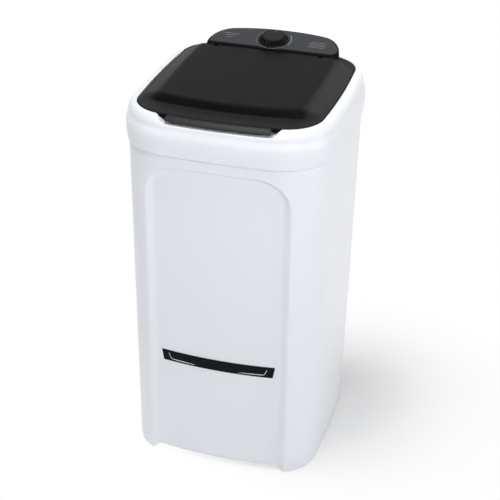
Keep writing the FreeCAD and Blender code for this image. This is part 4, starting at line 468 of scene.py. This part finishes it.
# The finger notch in the collar's front: its floor, half width and the roundness of its ends, where it runs out
# towards the tub, and how softly it meets the collar.
NOTCH_FLOOR, NOTCH_HALF, NOTCH_ROUND = 804.0, 112.0, 4.0
NOTCH_DEEP, NOTCH_BACK, NOTCH_RISE = -184.0, -170.0, 30.0
NOTCH_BEHIND, NOTCH_SOFT = -150.0, 2.4

# The outside, as levels and how far each stands out from the cabinet's top outline.
COLLAR_SIDE = (
    (739.2, 2.6), (739.3, 3.2), (740, 3.6), (745, 3.9), (752, 4.5), (759, 5.1), (766, 5.4),
    (772, 5.45), (778, 5.3), (782, 4.8), (786, 3.8), (790, 2.5), (794, 1.2), (SHOULDER, 0.5),
)
# The inside: an outline, how far it is moved out, a level, and how far it passes under the notch's cut.
COLLAR_INSIDE = (
    # the lid's opening and seat
    (LID_OPENING, 0.5, 819.85, 0.0), (LID_OPENING, 0.1, 819.4, 0.0), (LID_OPENING, 0.0, 818.6, 0.0),
    (LID_OPENING, 0.0, SEAT + 0.6, 0.0), (LID_OPENING, -0.6, SEAT, 0.0),
    # the wall round the tub's opening
    (TUB_OPENING, 2.0, SEAT, 0.0), (TUB_OPENING, 0.5, SEAT - 0.5, 0.0), (TUB_OPENING, 0.0, SEAT - 2.0, 0.0),
    (TUB_OPENING, 0.0, 800.0, 0.0), (TUB_OPENING, 0.0, 764.0, 0.0), (TUB_OPENING, 2.5, 764.0, 0.0),
    # the hidden underside, back to the lower edge
    (TUB_OPENING, 2.5, 799.0, 2.5), (TUB_OPENING, 2.5, 806.5, 2.5), (CABINET_TOP, -6.2, 806.5, 2.5),
    (CABINET_TOP, -2.0, SHOULDER, 2.5), (CABINET_TOP, 2.9, 778.0, 2.5), (CABINET_TOP, 3.0, 766.0, 2.5),
    (CABINET_TOP, 0.6, 738.6, 2.5), (CABINET_TOP, 1.2, 738.0, 0.0), (CABINET_TOP, 2.4, 738.2, 0.0),
)


def notch_level(x):
    """The level that the finger notch takes the collar down to at a distance from the middle."""
    over = abs(x) - NOTCH_HALF
    return NOTCH_FLOOR + (over + math.hypot(over, NOTCH_ROUND)) / 2


def collar_point(column, row):
    """A point of the collar, taken down where the finger notch lies."""
    outline, level, under = row
    x, y = outline.at(column)
    if y < NOTCH_BEHIND:
        top = notch_level(x) + NOTCH_RISE * smooth(NOTCH_DEEP, NOTCH_BACK, y) - under
        level = soft_min(level, top, NOTCH_SOFT)
    return x, y, level


def collar_rows():
    """Up the outside, over the round shoulder to the lid's opening, and back along the inside."""
    rows = [(CABINET_TOP.grown(proud), level, 0.0) for level, proud in COLLAR_SIDE]
    foot = rows[-1][0]
    for step in range(1, 15):
        turn = math.pi / 2 * step / 14.6
        sizes = mixed(foot.sizes, LID_OPENING.sizes, 1 - math.cos(turn))
        rows.append((Outline(*sizes), SHOULDER + (RIM - SHOULDER) * math.sin(turn), 0.0))
    rows += [(outline.grown(out), level, under) for outline, out, level, under in COLLAR_INSIDE]
    return rows + rows[:1]


def collar_columns():
    """Places round the collar, close together at the front corners, where the notch ends."""
    near = CABINET_TOP.place_of(1, 0, 140.0)
    columns = spaced(0.0, 1.0, 36)
    columns += spaced(1.0, near, 30) + spaced(near, 2.0, 26)
    columns += spaced(2.0, 3.0, 14) + spaced(3.0, 4.0, 30) + spaced(4.0, 5.0, 14)
    columns += spaced(5.0, 6.0, 30) + spaced(6.0, 7.0, 14)
    columns += spaced(7.0, 9.0 - near, 26) + spaced(9.0 - near, 8.0, 30)
    return columns + [8.0]


collar_mesh = sheet(collar_columns(), collar_rows(), collar_point)
piece("collar_ring", collar_mesh, "cabinet", "white_shell", FINISH["white_shell"], "top_collar")


# Lid

LID_REAR = 141.0
LID_EDGE = 812.5
LID_WALL = 2.4
PLATFORM_FOOT = Outline(186, 194.5, 44, 800, 2222, 25.5)
PLATFORM_TOP = Outline(153.5, 189, 26, 800, 2222, 28)
PLATFORM_FRONT, PLATFORM_LEVEL, PLATFORM_CLIMB = -161.0, 837.0, 5.0

# The hinges: how far out they lie, the half width and front end of their slots in the lid, and the ribs beside
# each of them, as where they start from its middle, how wide they are, and their depths and levels.
HINGE_X = 118.0
SLOT_HALF, SLOT_FRONT = 4.4, 131.2
RIB_STARTS, RIB_WIDTH = (4.6, -7.4), 2.8
RIB_DEPTHS, RIB_LEVELS, RIB_EDGE = (126.2, 139.8), (825.2, 838.5), 0.5


def platform_level(y):
    """The platform's level, which climbs a little towards the rear."""
    return PLATFORM_LEVEL + PLATFORM_CLIMB * (y - PLATFORM_FRONT) / (LID_REAR - PLATFORM_FRONT)


def lid_place(outline, column):
    """A point on the open loop that runs from the left rear round the front to the right rear."""
    segment = min(int(column), 4)
    share = column - segment
    if segment == 0:
        start = outline.place_of(6, 1, LID_REAR)
        return outline.at(start + (7.0 - start) * share)
    if segment == 4:
        end = outline.place_of(2, 1, LID_REAR)
        return outline.at(2.0 + (end - 2.0) * share)
    return outline.at((7.0, 0.0, 1.0)[segment - 1] + share * (1 - 1e-9))


def lid_point(column, row):
    """A point of the lid, which rises by one share at its flanks and by another at its front."""
    outline, level, (side_rise, front_rise), inner = row
    front = smooth(1.1, 1.9, column) * (1 - smooth(3.1, 3.9, column))
    rise = side_rise + (front_rise - side_rise) * front
    x, y = lid_place(outline, column)
    if inner:
        x *= 1 - inner
        y = y + (max(y, -110.0 + 40 * inner) - y) * inner
    return x, y, level + rise * (platform_level(y) - level)


def lid_rows():
    """From the rim's lower edge over its brim, the even flanks and the steeper front wall to the middle."""
    brim = ((0.0, LID_EDGE), (0.0, 817.2), (0.3, 818.3), (0.9, 819.1), (2.0, 819.7), (3.6, RIM))
    rows = [(LID.grown(-inset), level, (0.0, 0.0), 0.0) for inset, level in brim]
    foot, top = PLATFORM_FOOT, PLATFORM_TOP
    halfway = Outline(*mixed(LID.sizes, foot.sizes, 0.5))
    slopes = [(halfway, 0.04, 0.01), (foot.grown(2.4), 0.09, 0.03), (foot.grown(1.0), 0.11, 0.055)]
    for step in range(13):
        share = step / 12
        front = 0.08 + 0.84 * (0.4 * share + 0.6 * smooth(0.0, 1.0, share))
        slopes.append((Outline(*mixed(foot.sizes, top.sizes, share)), 0.13 + 0.80 * share, front))
    for inset, rise in ((1.2, 0.945), (3.0, 0.97), (6.0, 0.99), (10.0, 1.0)):
        slopes.append((top.grown(-inset), rise, rise))
    rows += [(outline, RIM, (side, front), 0.0) for outline, side, front in slopes]
    return rows + [(top, RIM, (1.0, 1.0), inner) for inner in (0.2020, 0.2605, 0.45, 0.7, 1.0)]


def lid_columns():
    """Places round the lid, with narrow steps at both rear ends."""
    columns = [0.0, 0.0327] + spaced(0.07, 1.0, 22) + spaced(1.0, 2.0, 26) + spaced(2.0, 3.0, 40)
    return columns + spaced(3.0, 4.0, 26) + spaced(4.0, 4.93, 22) + [4.93, 4.9673, 5.0]


def in_slot(face):
    """Whether a face lies in one of the hinge slots."""
    middle = face.calc_center_median()
    return abs(abs(middle.x) - HINGE_X * MM) < SLOT_HALF * MM and middle.y > SLOT_FRONT * MM


def at_rear(edge):
    """Whether an edge lies along the open rear of the lid's skin."""
    return edge.is_boundary and all(abs(vert.co.y - LID_REAR * MM) < 1e-5 for vert in edge.verts)


def lid_shell():
    """The lid's skin with its rear wall and hinge slots."""
    bm = sheet(lid_columns(), lid_rows(), lid_point)
    bmesh.ops.delete(bm, geom=[face for face in bm.faces if in_slot(face)], context="FACES")
    rear = [edge for edge in bm.edges if at_rear(edge)]
    for item in bmesh.ops.extrude_edge_only(bm, edges=rear)["geom"]:
        if isinstance(item, bmesh.types.BMVert):
            item.co.z = LID_EDGE * MM
    bmesh.ops.remove_doubles(bm, verts=bm.verts, dist=1e-6)
    bmesh.ops.recalc_face_normals(bm, faces=bm.faces)
    return bm


# The grip lip's section, as how far out from the lid and at what level, and the point that its ends draw in to.
LIP_SECTION = (
    (-1.6, 818.4), (0.2, 818.8), (1.6, 818.3), (5.0, 816.3), (8.6, 813.6), (11.0, 811.5), (12.1, 810.3),
    (12.4, 809.8), (12.1, 809.5), (11.2, 809.8), (8.0, 811.8), (4.0, 813.9), (1.0, 815.2), (-1.6, 815.6),
    (-1.6, 818.4),
)
LIP_OUT, LIP_LEVEL = 5.0, 814.6
LIP_STRAIGHT, LIP_END = 104.0, 4.0


def lip_point(column, row):
    """A point of the grip lip, whose section draws together at the two ends."""
    out, level = row
    past = max(0.0, (abs(column) - LIP_STRAIGHT) / LIP_END)
    keep = 0.25 + 0.75 * math.sqrt(max(0.0, 1 - past ** 2))
    outline = LID.grown(LIP_OUT + (out - LIP_OUT) * (0.6 + 0.4 * keep))
    x, y = outline.at(outline.place_of(0, 0, column))
    return x, y, LIP_LEVEL + (level - LIP_LEVEL) * keep


def lid_lip():
    """The grip lip, closed at both ends."""
    ends = [-108.0, -107.4, -106.4, -105.2, -104.0]
    columns = ends + spaced(-100.0, 100.0, 50) + [100.0] + [-x for x in reversed(ends)]
    bm = sheet(columns, LIP_SECTION, lip_point)
    bmesh.ops.holes_fill(bm, edges=[edge for edge in bm.edges if edge.is_boundary], sides=0)
    bmesh.ops.recalc_face_normals(bm, faces=bm.faces)
    return bm


lid_skin = piece("lid_moulding", lid_shell(), "lid", "lid_plastic", FINISH["lid_plastic"], "lid")
lid_wall = lid_skin.modifiers.new("wall", "SOLIDIFY")
lid_wall.thickness = LID_WALL * MM
lid_wall.offset = -1.0
lip_mesh = lid_lip()
for side in (-1, 1):
    for start in RIB_STARTS:
        rib_x = HINGE_X * side + start
        low, high = zip((rib_x, rib_x + RIB_WIDTH), RIB_DEPTHS, RIB_LEVELS)
        add_block(lip_mesh, low, high, RIB_EDGE)
# the lip and the ribs take a paler copy of the lid's finish: painted sheen
piece("lid_lip_and_ribs", lip_mesh, "lid", "lid_plastic", LIP_SHEEN_FINISH)


# Control pod

FACE_LEVEL = 843.0
FACE_SLOPE = math.radians(11.4)
FACE_MIDDLE = 184.0
FILM_TOP = 0.48
POD_CORNER, FILM_CORNER = 6.0, 5.0
RIGHT_CORNER = 2.8

# The pod is moved and stretched to the right, and its rear wall leans out at the top, more towards the right.
POD_SHIFT, POD_STRETCH = 4.6, 2.0
REAR_LEAN, RIGHT_LEAN = 12.0, 7.0


def face_place(across, up, height):
    """A point given along and above the pod's sloping face."""
    y = POD_FRONT + up * math.cos(FACE_SLOPE) - height * math.sin(FACE_SLOPE)
    z = FACE_LEVEL + up * math.sin(FACE_SLOPE) + height * math.cos(FACE_SLOPE)
    return across, y, z


def face_level(y):
    """The level of the pod's sloping face."""
    return FACE_LEVEL + (y - POD_FRONT) * math.tan(FACE_SLOPE)


def pod_lean(x, y, lean):
    """A point of the pod's outline moved to its place, and out with the rear wall by a share of its lean."""
    rear = max(0.0, (y - POD_FRONT) / POD_DEPTH) ** 1.5
    reach = REAR_LEAN + RIGHT_LEAN * smooth(0.0, 1.0, x / POD_HALF)
    return x + POD_SHIFT + POD_STRETCH * x / POD_HALF, y + lean * reach * rear


def end_place(outline, y):
    """The place on the outline's right side or rear corner at a depth."""
    return outline.place_of(2 if y < outline.at(3.0)[1] else 3, 1, y)


def pod_end(outline, front, corner):
    """One end of the outline from its rounded front corner to the rear bow."""
    points = []
    for turn in spaced(0.0, math.pi / 2, 10):
        y = front + corner * (1 - math.cos(turn))
        x = outline.at(end_place(outline, y))[0]
        points.append((x - corner * (1 - math.sin(turn)), y))
    start = end_place(outline, front + corner)
    return points + [outline.at(p) for p in spaced(start, 4.0, 30)]


def pod_loop(inset, corner, lean=1.0):
    """The pod's plan outline drawn in by an amount, from the right front round the leaning rear."""
    outline = POD.grown(-inset)
    front = POD_FRONT + inset
    points = pod_end(outline, front, RIGHT_CORNER * corner)
    points += [outline.at(p) for p in spaced(4.0, 5.0, 60)] + [outline.at(5.0)]
    points += [(-x, y) for x, y in reversed(pod_end(outline, front, corner))]
    points += [(x, front) for x in spaced(points[-1][0] + 4.0, points[0][0], 40)]
    points = [pod_lean(x, y, lean) for x, y in points]
    return points + points[:1]


def face_loops(corner, steps):
    """Loops along the face, drawn in and raised step by step, with the last one closed to the middle."""
    loops = []
    for inset, rise in steps:
        edge = pod_loop(inset, corner)
        loops.append([(x, y, face_level(y) + rise) for x, y in edge])
    for share in (0.3, 0.6, 0.85, 1.0):
        inner = [(x * (1 - 0.3 * share), y + (FACE_MIDDLE - y) * share) for x, y in edge]
        loops.append([(x, y, face_level(y) + rise) for x, y in inner])
    return loops


def pod_shell():
    """The pod's walls, which lean out as they rise, its rounded edge and its face."""
    loops = [[(x, y, RIM) for x, y in pod_loop(inset, POD_CORNER, 0.0)] for inset in (2.2, 0.0)]
    for share in (0.2, 0.45, 0.7, 0.9):
        wall = pod_loop(1.6 * share ** 2, POD_CORNER, share)
        loops.append([(x, y, RIM + (face_level(y) - 2.6 - RIM) * share) for x, y in wall])
    edge = ((1.8, -2.2), (2.3, -1.2), (3.0, -0.5), (4.1, -0.1), (5.4, 0.0))
    return loops_sheet(loops + face_loops(POD_CORNER, edge))


def overlay_film():
    """The printed film on the face, with a turned-down edge."""
    return loops_sheet(face_loops(FILM_CORNER, ((6.2, -0.3), (6.2, 0.2), (6.35, 0.4), (6.8, FILM_TOP))))


piece("pod_housing", pod_shell(), "cabinet", "pod_plastic", FINISH["pod_plastic"], "control_pod")
piece("pod_film", overlay_film(), "cabinet", "panel_film", FINISH["panel_film"], "panel_overlay")


# Prints on the film

KNOB_UP = 40.5
ARC_INNER, ARC_OUTER = 37.8, 39.2
PRINT_LOW, PRINT_TOP = 0.40, 0.58

# Printed bars: how far across they lie, how thick they are, and how far up and how wide each is.
RULES = (
    (-98.0, 1.0, ((46.0, 40.0), (38.5, 22.0), (31.0, 14.0))),
    (98.0, 0.9, ((47.0, 30.0), (40.0, 36.0), (33.5, 36.0), (27.0, 36.0))),
)


def dial_place(turn, row):
    """A point at a radius about the knob's middle and a height above the face."""
    radius, height = row
    return face_place(radius * math.cos(turn), KNOB_UP + radius * math.sin(turn), height)


def ring_mark(start, end):
    """A printed arc round the knob between two angles in degrees."""
    turns = spaced(math.radians(start), math.radians(end), 40) + [math.radians(end)]
    rows = ((ARC_INNER, PRINT_LOW), (ARC_INNER, PRINT_TOP), (ARC_OUTER, PRINT_TOP), (ARC_OUTER, PRINT_LOW))
    return sheet(turns, rows, dial_place)


def add_face_block(bm, middle, sizes, radius, steps):
    """A block with rounded edges about a place on the face."""
    verts = bmesh.ops.create_cube(bm, size=1.0)["verts"]
    for vert in verts:
        vert.co = Vector(face_place(*(m + c * size for m, c, size in zip(middle, vert.co, sizes)))) * MM
    round_edges(bm, verts, radius, steps)


piece("dial_arc_rose", ring_mark(140, 225), "cabinet", "panel_film", ROSE_INK)
piece("dial_arc_teal", ring_mark(232, 325), "cabinet", "panel_film", TEAL_INK)
piece("dial_arc_pale", ring_mark(-28, 38), "cabinet", "panel_film", PALE_INK)
rules_mesh = bmesh.new()
for rule_across, rule_height, rule_bars in RULES:
    for rule_up, rule_width in rule_bars:
        add_face_block(rules_mesh, (rule_across, rule_up, 0.5), (rule_width, rule_height, 0.16), 0.05, 1)
piece("panel_rules", rules_mesh, "cabinet", "panel_film", PALE_INK)


# Knob

# Sections of the knob and its cap, as radii and heights above the face.
KNOB_SECTION = (
    (20.0, 0.9), (32.7, 0.9), (33.2, 1.2), (33.4, 1.7), (33.2, 2.2), (32.5, 2.8), (31.3, 3.7), (30.2, 4.8),
    (29.2, 5.8), (28.3, 6.8), (27.5, 7.9), (26.8, 8.7), (26.2, 9.3), (25.3, 9.7), (24.2, 9.8), (18.0, 9.8),
    (9.0, 9.8), (0.0, 9.8),
)
CAP_SECTION = ((20.8, 9.5), (20.8, 9.8), (20.5, 9.88), (14.0, 9.88), (7.0, 9.88), (0.0, 9.88))
FLUTES, FLUTE_DEPTH = 24, 2.6
POINTER_MIDDLE = (0.0, KNOB_UP + 18.3, 9.95)
POINTER_SIZES = (1.9, 10.4, 0.5)


def knob_point(turn, row):
    """A point of the knob, drawn in where a flute runs up its grip."""
    radius, height = row
    groove = (0.5 + 0.5 * math.cos(turn * FLUTES)) ** 2
    on_grip = smooth(1.5, 3.6, height) * (1 - smooth(9.2, 9.8, height)) * smooth(24.0, 25.8, radius)
    return dial_place(turn, (radius - FLUTE_DEPTH * on_grip * groove, height))


knob_turns = spaced(0.0, 2 * math.pi, FLUTES * 12) + [2 * math.pi]
knob_mesh = sheet(knob_turns, KNOB_SECTION, knob_point)
piece("dial_knob", knob_mesh, "timer_dial", "knob_plastic", FINISH["knob_plastic"], "timer_knob")
# the cap is a greyer copy of the knob's plastic: painted light on the knob's top
piece("dial_cap", sheet(knob_turns, CAP_SECTION, dial_place), "timer_dial", "knob_plastic", CAP_TOP_LIGHT_FINISH)
pointer_mesh = bmesh.new()
add_face_block(pointer_mesh, POINTER_MIDDLE, POINTER_SIZES, 0.12, 2)
piece("dial_pointer", pointer_mesh, "timer_dial", "marker_plastic", FINISH["marker_plastic"], "knob_pointer")


# Strip on the front

STRIP_LOW, STRIP_HIGH = 243.0, 269.4
STRIP_HALF_LOW, STRIP_HALF = 122.0, 126.4
FOIL_LOW, FOIL_TOP = 1.1, 1.26

# The strip's section, as levels and how far each stands out from the recess floor.
STRIP_SECTION = (
    (STRIP_LOW, 0.05), (STRIP_LOW, 0.7), (243.2, 1.05), (243.6, 1.2), (250.0, 1.2), (256.0, 1.2), (262.0, 1.2),
    (268.8, 1.2), (269.2, 1.05), (STRIP_HIGH, 0.7), (STRIP_HIGH, 0.05),
)
# The hook of a foil accent, as how far across, at what level and how wide to each side.
FOIL_HOOK = (
    (111.0, 263.5, 0.5), (109.6, 258.0, 0.7), (108.0, 253.0, 0.8), (106.6, 250.4, 0.9), (104.0, 249.0, 1.0),
)
# How far its tail runs on from there towards the middle, sinks, swells and thins out.
TAIL_RUN, TAIL_SINK, TAIL_SWELL, TAIL_THIN = 54.0, 1.6, 0.5, 1.2


def strip_place(across, level, out):
    """A point over the recess floor, where the strip's ends lean in towards the bottom."""
    share = (level - STRIP_LOW) / (STRIP_HIGH - STRIP_LOW)
    x = across * (STRIP_HALF_LOW + (STRIP_HALF - STRIP_HALF_LOW) * share) / STRIP_HALF
    return x, -panel_front(x, level) - out, level


def strip_point(column, row):
    """A point of the strip, whose section lies flat at its very ends."""
    level, out = row
    return strip_place(column, level, out * (0.05 if abs(column) == STRIP_HALF else 1.0))


def accent(side):
    """A hooked line of foil near one end of the strip, which thins out towards the middle."""
    path = list(FOIL_HOOK)
    across, level, half = path[-1]
    for step in range(1, 17):
        share = step / 16
        width = half + TAIL_SWELL * share - TAIL_THIN * share ** 3
        path.append((across - TAIL_RUN * share, level - TAIL_SINK * share, width))
    loops = []
    for index, (across, level, half) in enumerate(path):
        before = path[max(0, index - 1)]
        after = path[min(len(path) - 1, index + 1)]
        run = Vector((after[0] - before[0], after[1] - before[1])).normalized()
        one, other = [(across - run.y * half * way, level + run.x * half * way) for way in (-1, 1)]
        corners = ((one, FOIL_LOW), (one, FOIL_TOP), (other, FOIL_TOP), (other, FOIL_LOW))
        loops.append([strip_place(x * side, z, out) for (x, z), out in corners])
    return loops_sheet(loops)


strip_ends = [124.0, 125.8, 126.2, STRIP_HALF]
strip_columns = [-x for x in reversed(strip_ends[1:])] + spaced(-124.0, 124.0, 80) + strip_ends
strip_mesh = sheet(strip_columns, STRIP_SECTION, strip_point)
piece("front_strip", strip_mesh, "cabinet", "strip_plastic", FINISH["strip_plastic"], "badge_strip")
piece("strip_foil_left", accent(-1), "cabinet", "strip_plastic", SILVER)
piece("strip_foil_right", accent(1), "cabinet", "strip_plastic", SILVER)


# Stage, light and camera

WHITE = srgb("FFFFFF")

# The floor's reach to each side, in front and behind. Near a point beside the object only a share of it is plain
# white to the camera, so that it shows the shadow, and further out it is all white.
FLOOR_SIDE, FLOOR_NEAR, FLOOR_FAR = 6.0, -1.5, 8.0
SHADE_PLACE = (0.22, 0.12, 0.0)
SHADE_INNER, SHADE_OUTER = 0.12, 0.48
FLOOR_WHITE = 0.19

# The room's strength low down and overhead, and the heights of view between which it changes.
SKY_LOW, SKY_HIGH = 0.625, 0.02
SKY_START, SKY_END = 0.15, 0.95

# Lamps: a name, a place, what it points at, its size, its power and the spread of its light in degrees.
LIGHTS = (
    ("overhead", (-0.8, -0.8, 7.0), (0, 0, 0.0), 2.6, 285.0, 180),
    ("front_right", (1.4, -2.3, 2.2), (-0.08, 0, 0.9), 1.2, 3.2, 43),
    ("right_side", (2.8, -0.25, 0.45), (0, -0.05, 0.2), 0.7, 1.2, 60),
    ("rear_right", (0.95, 3.3, 2.85), (0, 0, 0.83), 1.6, 1.1, 30),
)

LENS, SENSOR = 97.2, 36.0
EYE = Vector((0.73072, -2.50754, 1.85706))
LOOK_AT = Vector((0.00835, 0.0, 0.4284))
ROLL = math.radians(1.03)


def seen_share(tree, share):
    """A share for rays from the camera or mirrored in the object, and nothing for other rays."""
    paths = add(tree, "ShaderNodeLightPath").outputs
    total = paths["Is Camera Ray"]
    for name in ("Is Glossy Ray", "Is Transmission Ray"):
        total = add(tree, "ShaderNodeMath", {0: total, 1: paths[name]}, operation="MAXIMUM").outputs[0]
    return add(tree, "ShaderNodeMath", {0: total, 1: share}, operation="MULTIPLY").outputs[0]


def floor_paint():
    """Matt white paint that shows shade near the object and is plain white to the camera further out."""
    material = bpy.data.materials.new("white_studio_floor")
    material.use_nodes = True
    tree = material.node_tree
    shader = tree.nodes["Principled BSDF"]
    feed(tree, shader, {"Base Color": WHITE, "Roughness": 0.9, "Specular IOR Level": 0.0})
    glow = add(tree, "ShaderNodeEmission", {"Strength": 1.0})
    place = add(tree, "ShaderNodeTexCoord").outputs["Object"]
    away = add(tree, "ShaderNodeVectorMath", {0: place, 1: SHADE_PLACE}, operation="DISTANCE").outputs["Value"]
    share = add(tree, "ShaderNodeMapRange", {
        "Value": away, "From Min": SHADE_INNER, "From Max": SHADE_OUTER, "To Min": FLOOR_WHITE, "To Max": 1.0,
    }).outputs[0]
    seen = seen_share(tree, share)
    blend = add(tree, "ShaderNodeMixShader", {0: seen, 1: shader.outputs[0], 2: glow.outputs[0]})
    feed(tree, tree.nodes["Material Output"], {"Surface": blend.outputs[0]})
    return material


def stage_plane():
    """A white floor that runs from a little ahead of the object to far behind it."""
    bm = bmesh.new()
    bmesh.ops.create_grid(bm, x_segments=1, y_segments=1, size=1.0)
    for vert in bm.verts:
        vert.co.x *= FLOOR_SIDE
        vert.co.y = FLOOR_NEAR if vert.co.y < 0 else FLOOR_FAR
    mesh = bpy.data.meshes.new("studio_floor")
    bm.to_mesh(mesh)
    bm.free()
    mesh.materials.append(floor_paint())
    item = bpy.data.objects.new("studio_floor", mesh)
    bpy.context.scene.collection.objects.link(item)


def make_world():
    """White to the camera and to mirrored rays; as light, a room that is bright low down and dark overhead."""
    world = bpy.data.worlds.new("white_studio")
    bpy.context.scene.world = world
    world.use_nodes = True
    tree = world.node_tree
    tree.nodes.clear()
    view = add(tree, "ShaderNodeTexCoord").outputs["Generated"]
    height = add(tree, "ShaderNodeSeparateXYZ", {"Vector": view}).outputs["Z"]
    level = add(tree, "ShaderNodeMapRange", {
        "Value": height, "From Min": SKY_START, "From Max": SKY_END, "To Min": SKY_LOW, "To Max": SKY_HIGH,
    }).outputs[0]
    lit, seen = [
        add(tree, "ShaderNodeBackground", {"Color": WHITE, "Strength": strength}).outputs[0]
        for strength in (level, 1.0)
    ]
    choice = add(tree, "ShaderNodeMixShader", {0: seen_share(tree, 1.0), 1: lit, 2: seen})
    add(tree, "ShaderNodeOutputWorld", {"Surface": choice.outputs[0]})


def area_light(name, place, target, size, power, spread):
    """A square lamp that points at a target."""
    light = bpy.data.lights.new(name, "AREA")
    light.shape = "SQUARE"
    light.size = size
    light.energy = power
    light.spread = math.radians(spread)
    item = bpy.data.objects.new(name, light)
    item.location = place
    item.rotation_euler = (Vector(target) - Vector(place)).to_track_quat("-Z", "Y").to_euler()
    bpy.context.scene.collection.objects.link(item)


def make_camera():
    """The camera, rolled a little about its line of sight."""
    camera = bpy.data.cameras.new("camera")
    camera.lens = LENS
    camera.sensor_width = SENSOR
    item = bpy.data.objects.new("camera", camera)
    forward = (LOOK_AT - EYE).normalized()
    right = forward.cross(Vector((0, 0, 1))).normalized()
    up = right.cross(forward)
    turned_right = right * math.cos(ROLL) + up * math.sin(ROLL)
    turned_up = up * math.cos(ROLL) - right * math.sin(ROLL)
    item.matrix_world = Matrix((
        (turned_right.x, turned_up.x, -forward.x, EYE.x),
        (turned_right.y, turned_up.y, -forward.y, EYE.y),
        (turned_right.z, turned_up.z, -forward.z, EYE.z),
        (0, 0, 0, 1),
    ))
    bpy.context.scene.collection.objects.link(item)
    bpy.context.scene.camera = item


stage_plane()
make_world()
for light_values in LIGHTS:
    area_light(*light_values)
make_camera()
bpy.context.scene.view_settings.view_transform = "Standard"
